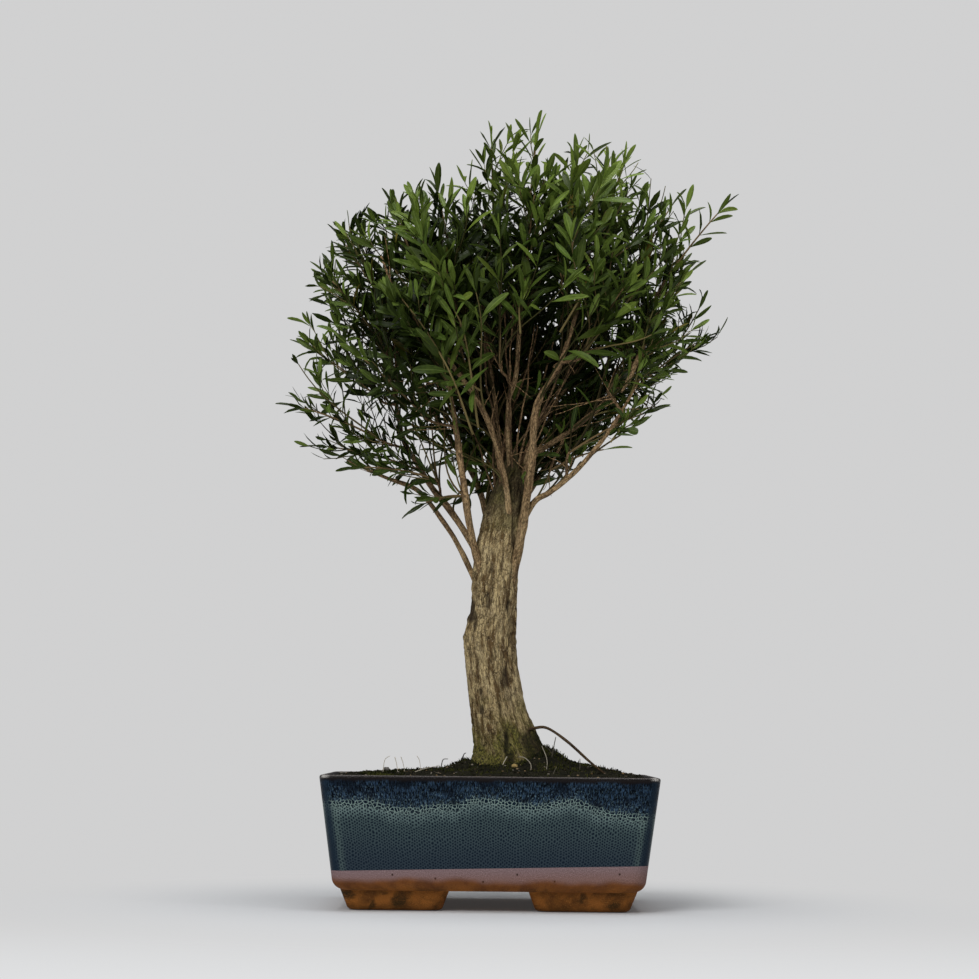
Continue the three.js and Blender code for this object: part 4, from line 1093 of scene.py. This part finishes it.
def grow_between(number, ends, skin):
    """One group of thin shoots that fill the crown between the sprays."""
    rng = np.random.default_rng(SEED * 4000 + number)
    growth = Growth(rng)
    for end in ends:
        outer = float(smooth(depth_of(end), 0.5, 0.95))
        heading = unit(unit(end - FAN) + 0.35 * UP + rng.normal(0, 0.28, 3))
        length = rng.uniform(42, 68)
        way = WOOD_PLACES - (end - heading * length)
        cost = np.linalg.norm(way, axis=1) * (1.5 + unit(way) @ heading)
        nearest = int(np.argmin(cost))
        start = WOOD_PLACES[nearest]
        pull = np.linalg.norm(end - start) * 0.38
        leave = start + unit(WOOD_HEADINGS[nearest] + 0.5 * heading) * pull
        path = bezier((start, leave, end - heading * pull, end), FILL_RINGS)
        if not inside_outline(path, 2.0).all():
            continue
        fresh = float(rng.uniform(0.0, 0.30) * outer + rng.uniform(0.0, 0.3) * smooth(end[2], 500, 570))
        look = (0.5, 0.15 + fresh, leaf_light(path[9], rng))
        add_tube(skin, path, np.linspace(0.85, 0.4, FILL_RINGS), 4, look, part=STEM_PART)
        size = LEAF_LENGTH * float(leaf_size_at(end)) * rng.uniform(0.85, 1.05)
        first = 1 - length * rng.uniform(0.75, 1.0) / max(length, np.linalg.norm(end - start) * 1.05)
        leaf_path(growth, path, first, rng.uniform(9.0, 12.0), size, fresh)
    growth.build(skin)


leaves = leaf_material()
shoots = [main_shoot(tip, index) for index, tip in enumerate(spray_tips())]
forks = fork_places()
twigs = [twig_controls(shoot, forks) for shoot in shoots]
WOOD_PLACES, WOOD_HEADINGS = wood_places()
for index, (shoot, twig) in enumerate(zip(shoots, twigs)):
    node = f"spray_{index + 1:02d}"
    skin = Skin()
    grow_spray(index, shoot, twig, skin)
    piece = skin.piece("foliage_" + node[-2:], leaves)
    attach(piece, "root")
    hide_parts(node)
ends = shoot_ends([shoot[2] for shoot in shoots])
ends.sort(key=lambda end: math.atan2(end[1] - CROWN_MIDDLE[1], end[0] - CROWN_MIDDLE[0]))
for number in range(SHOOT_GROUPS):
    skin = Skin()
    first, last = (len(ends) * k // SHOOT_GROUPS for k in (number, number + 1))
    grow_between(number, ends[first:last], skin)
    piece = skin.piece(f"side_shoots_{number + 1}", leaves)
    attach(piece, "root")
skin = Skin()
for number, (size, light, path) in enumerate(FRONT_SHOOTS):
    growth = Growth(np.random.default_rng(SEED * 5000 + number))
    growth.is_free = True
    growth.least_light = light
    stem = catmull_rom(path, 16)
    add_tube(skin, stem, np.linspace(0.9, 0.5, 16), 6, (0.5, 0.25, light), part=STEM_PART)
    leaf_path(growth, stem, 0.25, 9.5, size, 0.12, 0.15)
    growth.build(skin)
piece = skin.piece("front_shoots", leaves)
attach(piece, "root")

# Spots on the trunk's front, as x, z, half width, half height, relief and darkness.
TRUNK_MARKS = (
    (14, 171, 2.6, 9, -1.2, 0.75),
    (-0.6, 231, 2, 6.5, -0.8, 0.7),
    (15.8, 226.5, 1.6, 6, -2.2, 0.9),
    (-10.5, 215, 1.6, 9, -1, 0.8),
    (-17, 217.8, 2, 2.8, 1.1, 0.45),
    (-17.6, 203, 2, 2.4, 0.8, 0.35),
    (-13.5, 222, 2.6, 10, -0.6, 0.85),
    (-5.6, 161, 1.4, 3.4, -1, 0.8),
    (-4.7, 147.3, 1.6, 3.4, -1, 0.8),
    (15, 121, 2.2, 13, -3.6, 1),
    (18, 108, 3.4, 9, -3.6, 1),
    (19, 285, 1.8, 16, -2.6, 0.75),
    (6, 190, 1.2, 5, -0.8, 0.5),
    (2, 256, 1.4, 5, -0.8, 0.5),
    (-8, 182, 1, 5, -0.6, 0.5),
    (10, 148, 1.2, 7, -0.8, 0.45),
)
# Furrows in the trunk's bark: scale, seed, where they begin in the noise, and depth.
FURROWS = (((0.20, 0.20, 0.035), 11, 0.80, 1.5), ((0.42, 0.42, 0.09), 12, 0.78, 0.8))
TRUNK_RINGS, TRUNK_SIDES = 260, 128
STEM_COUNT, FINE_TWIG_COUNT = 15, 90
LIMB_RINGS, STEM_RINGS, FINE_RINGS = 70, 30, 9
BROKEN_STUB = ((100, -28, 390), (106, -29, 401), (112, -30, 415), (118, -30, 427))
# The thin limbs on the left are this much thicker than in the layout.
LEFT_THICKER = 1.3


def trunk_skin(skin):
    levels, *edges = np.array(TRUNK_OUTLINE, float).T
    z = np.linspace(levels[0], levels[-1], TRUNK_RINGS)
    weights = np.exp(-np.linspace(-2, 2, 15) ** 2)
    weights /= weights.sum()
    rows = [np.pad(np.interp(z, levels, edge), 7, mode="edge") for edge in edges]
    left, right = (np.convolve(row, weights, mode="valid") for row in rows)
    turn = np.arange(TRUNK_SIDES) * 2 * math.pi / TRUNK_SIDES
    height = z[:, None]
    flute = np.ones((len(z), TRUNK_SIDES))
    for count, depth, twist in FLUTES:
        flute += depth * np.sin(count * turn + twist * height)
    centre_x = (left + right)[:, None] / 2
    radius = (right - left)[:, None] / 2 * flute
    shares = np.array(BRACE_SHARES, float)
    share = np.interp(z, shares[:, 0], shares[:, 1])[:, None]
    for angle, reach, thick in BRACE_ROOTS:
        out = reach * share + thick
        apart = (turn - angle + math.pi) % (2 * math.pi) - math.pi
        own = np.exp(-((apart * np.maximum(out, 20) / (thick * 1.7)) ** 2))
        radius += own * np.maximum(0.0, out - radius * 0.95) * smooth(150 - height, 10, 60)
    unrolled = joined(radius * np.cos(turn), radius * np.sin(turn), height)
    relief = np.zeros(radius.shape)
    for scale, seed, low, depth in FURROWS:
        relief -= depth * smooth(1 - np.abs(noise(unrolled * scale, seed)), low, 1.0)
    relief += 0.8 * noise(unrolled * (0.11, 0.11, 0.05), 13) + 0.35 * noise(unrolled * (0.7, 0.7, 0.3), 14)

    def spread(radius):
        x = centre_x + radius * np.cos(turn)
        return joined(x, TRUNK_MIDDLE_Y + radius * TRUNK_FLATNESS * np.sin(turn), height)

    x, y, _ = np.moveaxis(spread(radius), -1, 0)
    marks_and_shade = np.zeros(radius.shape)
    wobble = 1 + 0.5 * noise(unrolled * (0.5, 0.5, 0.2), 15)
    for mark_x, mark_z, half_width, half_height, depth, dark in TRUNK_MARKS:
        away = ((x - mark_x) / half_width) ** 2 + ((height - mark_z) / half_height) ** 2
        near = np.exp(-away * wobble) * (y < 6)
        relief += depth * near
        marks_and_shade = np.maximum(marks_and_shade, dark * smooth(near, 0.15, 0.6))
    moss = smooth(156 - height + 26 * layered_noise(unrolled * 0.09, 16), 0, 36)
    moss = np.maximum(moss * 0.9, 0.60 * smooth(height + 16 * noise(unrolled * 0.08, 17), 268, 310))
    # Painted shade: the right flank of the trunk's foot is painted dark.
    right_flank_shade = smooth(x + 5 * noise(unrolled * 0.12, 19), 24, 32) * smooth(138 - height, 0, 10)
    marks_and_shade = np.maximum(marks_and_shade, 0.92 * right_flank_shade)
    marks_and_shade = np.maximum(marks_and_shade, 0.80 * smooth(height + 10 * noise(unrolled * 0.1, 18), 272, 316))
    skin.add_rings(spread(radius + relief), unrolled, joined(marks_and_shade, moss, 0.0))


def limb_relief(flat, reach):
    knots = noise(flat * (0.0, 0.0, 0.10), 21) * 0.10 + noise(flat * (0.35, 0.35, 0.12), 22) * 0.09
    return reach * knots


def wood_skin():
    skin = Skin()
    trunk_skin(skin)
    rng = np.random.default_rng(SEED)
    offset = 1000.0
    for thick, thin, path in LIMBS:
        points = catmull_rom(path, LIMB_RINGS)
        share = np.linspace(0, 1, LIMB_RINGS)
        radius = (thick + (thin - thick) * share) * 0.8 * (1 - 0.45 * smooth(share, 0.7, 1.0))
        if path[-1][0] < -60 and thick < 3:
            radius = radius * LEFT_THICKER
        if thick == RIGHT_MAIN:
            radius = radius * (1 - 0.20 * smooth(points[:, 2], 380, 396))
        shade = np.clip(0.42 * smooth(points[:, 1], -5, 30) + 0.10 * share + rng.normal(0, 0.04), 0, 0.7)
        look = joined(shade, 0.0, 0.55 + 0.45 * share)
        add_tube(skin, points, radius, 12, look, offset, limb_relief)
        offset += 500
    stub = catmull_rom(BROKEN_STUB, 16)
    add_tube(skin, stub, 2.0 * np.sin(np.linspace(0.35, 2.7, 16)), 10, (0.0, 0.0, 0.8), offset, limb_relief)
    for k in range(STEM_COUNT):
        share = (k + 0.5) / STEM_COUNT
        turn = k * math.pi * (3 - math.sqrt(5))
        start = np.array([12 + 8 * math.cos(turn), 2 + 7 * math.sin(turn), rng.uniform(292, 325)])
        x = -52 + 150 * share + rng.normal(0, 5)
        end = np.array([x, rng.uniform(-22, 30), 455 - 0.35 * abs(x - 15) + rng.uniform(-15, 35)])
        leave = start + np.array([0.12 * (x - 12), 0, 40])
        arrive = end - np.array([0.30 * (x - 12), 0, 45])
        points = wobbled(bezier((start, leave, arrive, end), STEM_RINGS), 2.5, 0.045, 32)
        offset += 200
        thick = rng.uniform(0.7, 1.35)
        # Painted shade: each stem is painted darker by a random amount.
        look = (rng.uniform(0.10, 0.60), 0.0, 1.0)
        add_tube(skin, points, np.linspace(thick, thick * 0.5, STEM_RINGS), 6, look, offset, limb_relief)
    is_open = (WOOD_PLACES[:, 1] < 22) & (WOOD_PLACES[:, 2] > 325) & (WOOD_PLACES[:, 2] < 470)
    for number in rng.choice(np.flatnonzero(is_open), FINE_TWIG_COUNT, replace=False):
        heading = unit(WOOD_HEADINGS[number] + rng.normal(0, 0.55, 3))
        length = rng.uniform(14, 42)
        share = np.linspace(0, 1, FINE_RINGS)[:, None]
        points = WOOD_PLACES[number] + heading * length * share + rng.normal(0, 4, 3) * share**2
        points = points + rng.normal(0, 0.35, points.shape) * share
        if inside_outline(points).all():
            add_tube(skin, points, np.linspace(0.45, 0.2, FINE_RINGS), 5, (0.0, 0.0, 1.0), offset)
    root = catmull_rom(SURFACE_ROOT, 60)
    add_tube(skin, root, np.linspace(1.15, 0.85, 60), 10, (0.74, 0.0, 0.9), offset, limb_relief)
    for twig in twigs:
        offset += 200
        points = wobbled(bezier(twig, 28), 1.0, 0.09, 31)
        radius = np.linspace(TWIG_THICK, TWIG_THIN, 28)
        add_tube(skin, points, radius, 8, (0.35, 0.0, 1.0), offset, limb_relief)
    return skin


wood = wood_skin().piece("wood", bark_material())
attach(wood, "root")
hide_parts("trunk_and_limbs")

CORNER_RADIUS, INNER_CORNER_RADIUS, EDGE_RADIUS, LIP_RADIUS, FLOOR_INSET = 12, 5, 8, 2.2, 12
# Level and inset of the rings inside the pot.
POT_INSIDE = ((94, 6.5), (90, 7.6), (80, 8), (60, 8), (40, 8), (28, 8), (25, 9.5), (24, 12))
# Where the unrolled outline is cut at the back, as a share of its length.
SEAM_SHARE = 0.642
FOOT_X, FOOT_Y, FOOT_TAPER = (29, 109), (24, 75), 5.5


def rounded_ring(half_width, half_depth, radius, per_corner=12, per_side=(60, 44), middle_x=POT_X):
    """Points of a rounded rectangle from the middle of its front, turning left."""
    radius = min(radius, half_width, half_depth)
    corners = ((1, -1, -0.5), (1, 1, 0.0), (-1, 1, 0.5), (-1, -1, 1.0))
    points = []
    inner_x, inner_y = half_width - radius, half_depth - radius
    sides = (
        ((0, -half_depth), (inner_x, -half_depth), per_side[0] // 2),
        ((half_width, -inner_y), (half_width, inner_y), per_side[1]),
        ((inner_x, half_depth), (-inner_x, half_depth), per_side[0]),
        ((-half_width, inner_y), (-half_width, -inner_y), per_side[1]),
        ((-inner_x, -half_depth), (0, -half_depth), per_side[0] // 2),
    )
    for number, (start, end, count) in enumerate(sides):
        share = np.linspace(0, 1, count, endpoint=False)[:, None]
        points.append(np.array(start) * (1 - share) + np.array(end) * share)
        if number < 4:
            sign_x, sign_y, from_turn = corners[number]
            turn = (from_turn + np.linspace(0, 0.5, per_corner, endpoint=False)) * math.pi
            middle = np.array([sign_x * inner_x, sign_y * inner_y])
            points.append(middle + radius * joined(np.cos(turn), np.sin(turn)))
    return np.vstack(points) + (middle_x, 0)


def pot_ring(height, inset=0.0):
    """Half width and half depth of the pot at a height."""
    taper = POT_TAPER * (POT_HEIGHT - height) / (POT_HEIGHT - POT_UNDERSIDE)
    return POT_WIDTH / 2 - taper - inset, POT_DEPTH / 2 - taper - inset


def corner_distance(ring):
    """How far each point of the pot's outline is from the corner at the end of its side."""
    return np.maximum(POT_WIDTH / 2 - np.abs(ring[:, 0] - POT_X), POT_DEPTH / 2 - np.abs(ring[:, 1]))


def pot_skin():
    rings = [(POT_UNDERSIDE, FLOOR_INSET)]
    for angle in np.linspace(0, math.pi / 2, 9):
        level = POT_UNDERSIDE + EDGE_RADIUS * (1 - math.cos(angle))
        rings.append((level, EDGE_RADIUS * (1 - math.sin(angle))))
    rings += [(level, 0.0) for level in np.linspace(26, POT_HEIGHT - 3.0, 30)]
    for angle in np.linspace(0, math.pi, 13):
        level = POT_HEIGHT - LIP_RADIUS + LIP_RADIUS * math.sin(angle)
        rings.append((level, LIP_RADIUS - LIP_RADIUS * math.cos(angle)))
    outside = len(rings)
    rings += POT_INSIDE
    nominal = rounded_ring(POT_WIDTH / 2, POT_DEPTH / 2, CORNER_RADIUS)
    run = run_along(nominal)
    total = run[-1] + np.linalg.norm(nominal[-1] - nominal[0])
    run = np.where(run > total * SEAM_SHARE, run - total, run)
    points, place = [], []
    for number, (level, inset) in enumerate(rings):
        is_inside = float(number >= outside)
        ring = rounded_ring(*pot_ring(level, inset), INNER_CORNER_RADIUS if is_inside else CORNER_RADIUS)
        points.append(joined(*ring.T, level))
        place.append(joined(run, level, is_inside))
    points = np.array(points)
    edge = np.interp(run, *np.array(GLAZE_EDGE, float).T)
    skin = Skin()
    look = joined(edge, corner_distance(nominal), points[..., 0])
    skin.add_rings(points, np.array(place), look, is_loop=True)
    for sign_x in (-1, 1):
        add_pot_floor(skin, sign_x)
        for sign_y in (-1, 1):
            add_foot(skin, sign_x, sign_y)
    return skin


def add_pot_floor(skin, sign_x):
    """One half of the pot's floor with the drain hole in it."""
    hole = np.array([POT_X + sign_x * DRAIN_X, 0.0])
    rings = []
    for level in (POT_UNDERSIDE, FLOOR_TOP):
        half_width, half_depth = pot_ring(level, FLOOR_INSET)
        ring = rounded_ring(half_width, half_depth, CORNER_RADIUS)
        ring = ring[sign_x * (ring[:, 0] - POT_X) > 0.5]
        ring = ring[np.argsort(sign_x * np.arctan2(ring[:, 1], sign_x * (ring[:, 0] - POT_X)))]
        middle = joined(POT_X, np.linspace(sign_x * half_depth, -sign_x * half_depth, 30))
        rings.append((np.vstack([ring, middle]), level))
    rings += [(hole + DRAIN_RADIUS * unit(ring - hole), level) for ring, level in rings[::-1]]
    points = np.array([joined(*ring.T, level) for ring, level in rings])
    is_inside = (points[..., 2] > POT_UNDERSIDE).astype(float)
    place = joined(points[..., 0] + points[..., 1] * 0.7, POT_UNDERSIDE, is_inside)
    skin.add_rings(points, place, (1.0, 0.0, 0.0), is_loop=True)


def add_foot(skin, sign_x, sign_y):
    half_width, half_depth = ((far - near) / 2 for near, far in (FOOT_X, FOOT_Y))
    middle = (POT_X + sign_x * sum(FOOT_X) / 2, sign_y * sum(FOOT_Y) / 2)
    levels = [(0.0, 1.6), (0.35, 0.8), (0.9, 0.3), (1.8, 0.0)]
    levels += [(level, 0.0) for level in np.linspace(3, POT_UNDERSIDE + 4, 9)]
    points = []
    for level, inset in levels:
        taper = FOOT_TAPER / POT_UNDERSIDE * (POT_UNDERSIDE - level) + inset
        ring = rounded_ring(half_width - taper, half_depth - taper, 9, 8, (24, 16), 0.0) + middle
        points.append(joined(*ring.T, level))
    x, y, z = np.moveaxis(np.array(points), -1, 0)
    skin.add_rings(np.array(points), joined(x + y * 0.7, z, 0.0), joined(1.0, 0.0, x))


pot = pot_skin().piece("pot_body", pot_material())
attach(pot, "root")
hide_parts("pot")


def soil_height(x, y):
    dome = (1 - ((x - POT_X) * 2 / POT_WIDTH) ** 4) * (1 - (y * 2 / POT_DEPTH) ** 4)
    mound = np.exp(-(((x - 32) / 56) ** 2) - ((y - 6) / 44) ** 2)
    ripple = np.sin(x * 0.13 + 1) * np.cos(y * 0.16) + 0.5 * np.sin(x * 0.05 - y * 0.21)
    return 95.5 + 4.5 * dome + 12 * mound + 0.9 * ripple


def ground_height(x, y):
    """The soil's height with its crumbs and moss cushions."""
    place = joined(x, y, 0.0)
    heap = 4.5 * np.exp(-(((x + 17) / 9) ** 2) - ((y + 8) / 16) ** 2)
    heap += 9.0 * np.exp(-(((x - 46) / 12) ** 2) - ((y + 8) / 16) ** 2)
    return soil_height(x, y) + heap + 1.6 * layered_noise(place * 0.13, 41, 4) + 0.8 * noise(place * 0.6, 42)


def soil_skin():
    levels = ((24.3, 12), (27.3, 9), (60, 8.3), (90, 8.3))
    rings = [joined(*rounded_ring(*pot_ring(level, inset), 4).T, level) for level, inset in levels]
    half_width, half_depth = pot_ring(95, 8.3)
    for share in np.linspace(1, 0.03, 64):
        radius = min(4 + 60 * (1 - share), half_depth * share)
        x, y = rounded_ring(half_width * share, half_depth * share, radius).T
        rings.append(joined(x, y, ground_height(x, y)))
    skin = Skin()
    skin.add_rings(np.array(rings), 0.0, 0.0)
    return skin


soil_paint = ground_material("soil", (0.004, 0.004, 0.002), (0.030, 0.028, 0.014))
soil = soil_skin().piece("soil_bed", soil_paint)
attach(soil, "root")
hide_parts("soil")

for name, dark, light in (
    ("drain_screen_left", (0.01, 0.01, 0.01), (0.03, 0.03, 0.03)),
    ("drain_screen_right", (0.01, 0.01, 0.01), (0.03, 0.03, 0.03)),
    ("pebble_tan", (0.26, 0.17, 0.06), (0.52, 0.39, 0.16)),
    ("pebble_grey", (0.12, 0.11, 0.10), (0.30, 0.28, 0.26)),
):
    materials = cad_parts[name].data.materials
    materials.clear()
    materials.append(ground_material(name, dark, light))

MOUND_TUFTS, CUSHION_TUFTS, GRIT_COUNT = 5600, 1100, 800


def moss_skin():
    """Short tufts over the mound and the cushion at the left."""
    rng = np.random.default_rng(SEED + 5)
    x = np.concatenate([rng.normal(24, 36, MOUND_TUFTS), rng.uniform(-94, -60, CUSHION_TUFTS)])
    y = np.concatenate([rng.normal(0, 34, MOUND_TUFTS), rng.uniform(-82, -44, CUSHION_TUFTS)])
    keep = (np.abs(x) < 112) & (np.abs(y) < 82)
    x, y = x[keep], y[keep]
    cover = noise(joined(x, y, 0.0) * 0.12, 51) > -0.15
    x, y = x[cover], y[cover]
    number = len(x)
    base = joined(x, y, ground_height(x, y) - 0.8)
    heading = unit(joined(rng.normal(0, 0.45, number), rng.normal(0, 0.45, number), 1.0))
    across = unit(np.cross(heading, unit(rng.normal(0, 1, (number, 3)))))
    over = np.cross(heading, across)
    length = rng.uniform(1.6, 3.6, number)[:, None]
    thick = rng.uniform(0.25, 0.6, number)[:, None]
    rings = []
    for along, wide in ((0.0, 1.0), (1.0, 0.2)):
        corners = [across * a + over * b for a, b in ((1, 0), (0, 1), (-1, 0), (0, -1))]
        ring = [base + heading * length * along + corner * thick * wide for corner in corners]
        rings.append(np.stack(ring, axis=1))
    points = np.stack(rings, axis=1)
    tone = np.clip(0.5 + 0.9 * noise(base * 0.08, 52) + rng.normal(0, 0.25, number), 0, 1)
    place, look = np.zeros(points.shape), np.zeros(points.shape)
    place[:, 1, :, 0] = 1.0
    look[..., 0] = tone[:, None, None]
    skin = Skin()
    skin.add_copies(points, place, look)
    return skin


def moss_material():
    """Reads the share of the tuft's length from "place", and tone from "look"."""
    shader = Shader("moss", 0.95, 0.1)
    _, (along, _, _) = shader.attribute("place")
    _, (tone, _, _) = shader.attribute("look")
    tip = shader.mix(tone, (0.008, 0.011, 0.003), (0.082, 0.086, 0.017))
    shader.colour(shader.mix(along, (0.004, 0.005, 0.002), tip))
    return shader.material


moss = moss_skin().piece("moss", moss_material())
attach(moss, "root")


def grit_skin():
    """Crumbs of soil and small stones that lie between the moss."""
    rng = np.random.default_rng(SEED + 6)
    skin = Skin()
    turn = np.arange(6) * math.pi / 3
    for _ in range(GRIT_COUNT):
        x, y = rng.uniform(-112, 116), rng.uniform(-84, 84)
        size = rng.uniform(0.5, 1.3) * (1.5 if rng.uniform() < 0.06 else 1.0)
        flat = rng.uniform(0.5, 0.9)
        middle = np.array([x, y, float(ground_height(np.array(x), np.array(y))) + 0.1 * size])
        rings = []
        for rise, reach in ((-0.8, 0.55), (0.0, 1.0), (0.8, 0.5)):
            out = reach * size * rng.uniform(0.75, 1.15, 6)
            rings.append(middle + joined(out * np.cos(turn), out * np.sin(turn), rise * size * flat))
        look = (rng.uniform(0, 1) ** 4, rng.uniform(0, 1), 0)
        skin.add_rings(np.array(rings), 0.0, look)
    return skin


def grit_material():
    shader = Shader("grit", 0.9, 0.1)
    _, (tone, warm, _) = shader.attribute("look")
    pale = shader.mix(warm, (0.30, 0.29, 0.26), (0.36, 0.23, 0.10))
    shader.colour(shader.mix(tone, (0.008, 0.007, 0.004), pale))
    return shader.material


grit = grit_skin().piece("grit", grit_material())
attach(grit, "root")

# Dry stems and rootlets: radius, paleness and path.
DRY_STEMS = (
    (0.28, 0.9, ((-76.5, -62, 100.2), (-75.2, -62, 109.3), (-71.5, -62, 112.3))),
    (0.28, 0.9, ((-68, -58, 111.5), (-66.6, -58, 106), (-65.6, -58, 100.2))),
    (0.26, 0.9, ((-63.6, -55, 111.6), (-62, -55, 107), (-60.5, -55, 100))),
    (0.26, 0.85, ((-51.9, -50, 112.4), (-50, -50, 109), (-48.8, -50, 101))),
    (0.32, 0.75, ((-52.6, -70, 100.8), (-43.2, -68, 103.8), (-34.4, -66, 105.3))),
    (0.40, 0.05, ((-34.1, -40, 103), (-32.6, -42, 109.5), (-28.9, -44, 110.3))),
    (0.45, 0.0, ((-18.8, -10, 109.7), (-17.3, -11, 113.5), (-15.8, -12, 114.7))),
    (0.42, 0.1, ((49.3, -22, 112), (50.8, -22, 120.7), (52.2, -22, 127.5))),
    (0.30, 0.1, ((49.5, -22, 114.7), (47, -23, 118), (44.7, -24, 119.9))),
    (0.36, 0.55, ((24.3, -30, 112.3), (28.7, -36, 111.6), (33.2, -42, 106.5), (32.3, -52, 98.5))),
    (0.36, 0.5, ((41.7, -20, 120.6), (45.3, -34, 110.3), (44.3, -50, 98.6))),
    (0.45, 0.75, ((15.3, -24, 112.1), (13, -29, 108), (10.8, -34, 103))),
    (0.34, 0.15, ((70.2, -30, 103), (70.3, -30, 108), (70.2, -30, 111.3))),
    (0.30, 0.2, ((49.2, -60, 99.3), (50.6, -60, 103), (52.1, -60, 105.4))),
)


def dry_stem_skin():
    skin = Skin()
    for radius, pale, path in DRY_STEMS:
        points = catmull_rom(path, 14)
        add_tube(skin, points, np.linspace(radius, radius * 0.7, 14), 6, (pale, 0.0, 0.0))
    return skin


def dry_stem_material():
    shader = Shader("dry stems", 0.8, 0.15)
    _, (pale, _, _) = shader.attribute("look")
    shader.colour(shader.mix(pale, (0.020, 0.013, 0.008), (0.62, 0.56, 0.44)))
    return shader.material


dry_stems = dry_stem_skin().piece("dry_stems", dry_stem_material())
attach(dry_stems, "root")

CAMERA_TILT, CAMERA_ROLL, CAMERA_LENS = 5.64, 0.62, 92.1
FLOOR_HALF = 30.0
# What the camera sees of the floor near the pot, as a painted glow, and of the backdrop.
NEAR_GREY, FAR_GREY = (0.752, 0.760, 0.770), (0.636, 0.636, 0.638)


def floor_material():
    """Takes the shadow near the pot, lifted by a faint painted glow, and further out glows as painted light
    that fades to an even backdrop.
    """
    shader = Shader("studio floor", 0.9, 0.1)
    shader.colour((0.69, 0.705, 0.725))
    coordinates = shader.node("ShaderNodeTexCoord").outputs["Object"]
    length = shader.vector_math("LENGTH", coordinates)
    _, along, _ = shader.node("ShaderNodeSeparateXYZ", Vector=coordinates).outputs
    far = shader.math("MAXIMUM", shader.step(along, -0.75, -0.10), shader.step(length, 0.6, 1.9))
    glow = shader.node("ShaderNodeEmission", Color=shader.mix(far, NEAR_GREY, FAR_GREY), Strength=1.0)
    blend = shader.node("ShaderNodeMixShader")
    # Painted light: the floor glows, faintly in the shadow near the pot and fully further out.
    shown = (shader.step(length, 0.12, 0.42, 0.05, 1.0), shader.surface.outputs[0], glow.outputs[0])
    for socket, value in zip(blend.inputs, shown):
        shader.plug(socket, value)
    shader.plug(shader.tree.nodes["Material Output"].inputs["Surface"], blend.outputs[0])
    return shader.material


def add_floor():
    mesh = bpy.data.meshes.new("studio_floor")
    corners = [(x * FLOOR_HALF, y * FLOOR_HALF, 0) for x, y in ((-1, -1), (1, -1), (1, 1), (-1, 1))]
    mesh.from_pydata(corners, [], [(0, 1, 2, 3)])
    mesh.materials.append(floor_material())
    obj = bpy.data.objects.new("studio_floor", mesh)
    bpy.context.scene.collection.objects.link(obj)
    obj.location = (ORIGIN[0], ORIGIN[1], -0.0005)


def add_light(name, place, size, power, aim=(0.0, 0.0, 0.3)):
    light = bpy.data.lights.new(name, "AREA")
    light.shape = "RECTANGLE"
    light.size, light.size_y = size
    light.energy = power
    obj = bpy.data.objects.new(name, light)
    obj.location = place
    obj.rotation_euler = (Vector(aim) - Vector(place)).to_track_quat("-Z", "Y").to_euler()
    bpy.context.scene.collection.objects.link(obj)


def add_world():
    world = bpy.data.worlds.new("studio")
    bpy.context.scene.world = world
    world.use_nodes = True
    tree = world.node_tree
    tree.nodes.clear()
    output = tree.nodes.new("ShaderNodeOutputWorld")
    seen, cast = tree.nodes.new("ShaderNodeBackground"), tree.nodes.new("ShaderNodeBackground")
    seen.inputs["Color"].default_value = (*FAR_GREY, 1)
    cast.inputs["Color"].default_value = (0.97, 0.98, 1.0, 1)
    cast.inputs["Strength"].default_value = 0.085
    path = tree.nodes.new("ShaderNodeLightPath")
    blend = tree.nodes.new("ShaderNodeMixShader")
    tree.links.new(path.outputs["Is Camera Ray"], blend.inputs[0])
    tree.links.new(cast.outputs[0], blend.inputs[1])
    tree.links.new(seen.outputs[0], blend.inputs[2])
    tree.links.new(blend.outputs[0], output.inputs["Surface"])


def add_camera():
    data = bpy.data.cameras.new("camera")
    data.lens, data.sensor_width = CAMERA_LENS, 36.0
    data.clip_start, data.clip_end = 0.05, 100.0
    obj = bpy.data.objects.new("camera", data)
    away = np.array([0.0, -CAMERA_AWAY, CAMERA_HEIGHT]) * MM + ORIGIN
    tilt = Matrix.Rotation(math.radians(90 + CAMERA_TILT), 4, "X")
    turn = tilt @ Matrix.Rotation(math.radians(CAMERA_ROLL), 4, "Z")
    obj.matrix_world = Matrix.Translation(Vector(away)) @ turn
    bpy.context.scene.collection.objects.link(obj)
    bpy.context.scene.camera = obj


add_floor()
add_light("key", (-1.0, -2.0, 1.6), (1.2, 1.2), 38)
add_light("fill", (1.7, -1.3, 1.0), (0.5, 0.8), 6)
add_light("top", (0.0, -0.1, 2.2), (1.2, 1.2), 27)
add_world()
add_camera()
bpy.context.scene.view_settings.view_transform = "Standard"
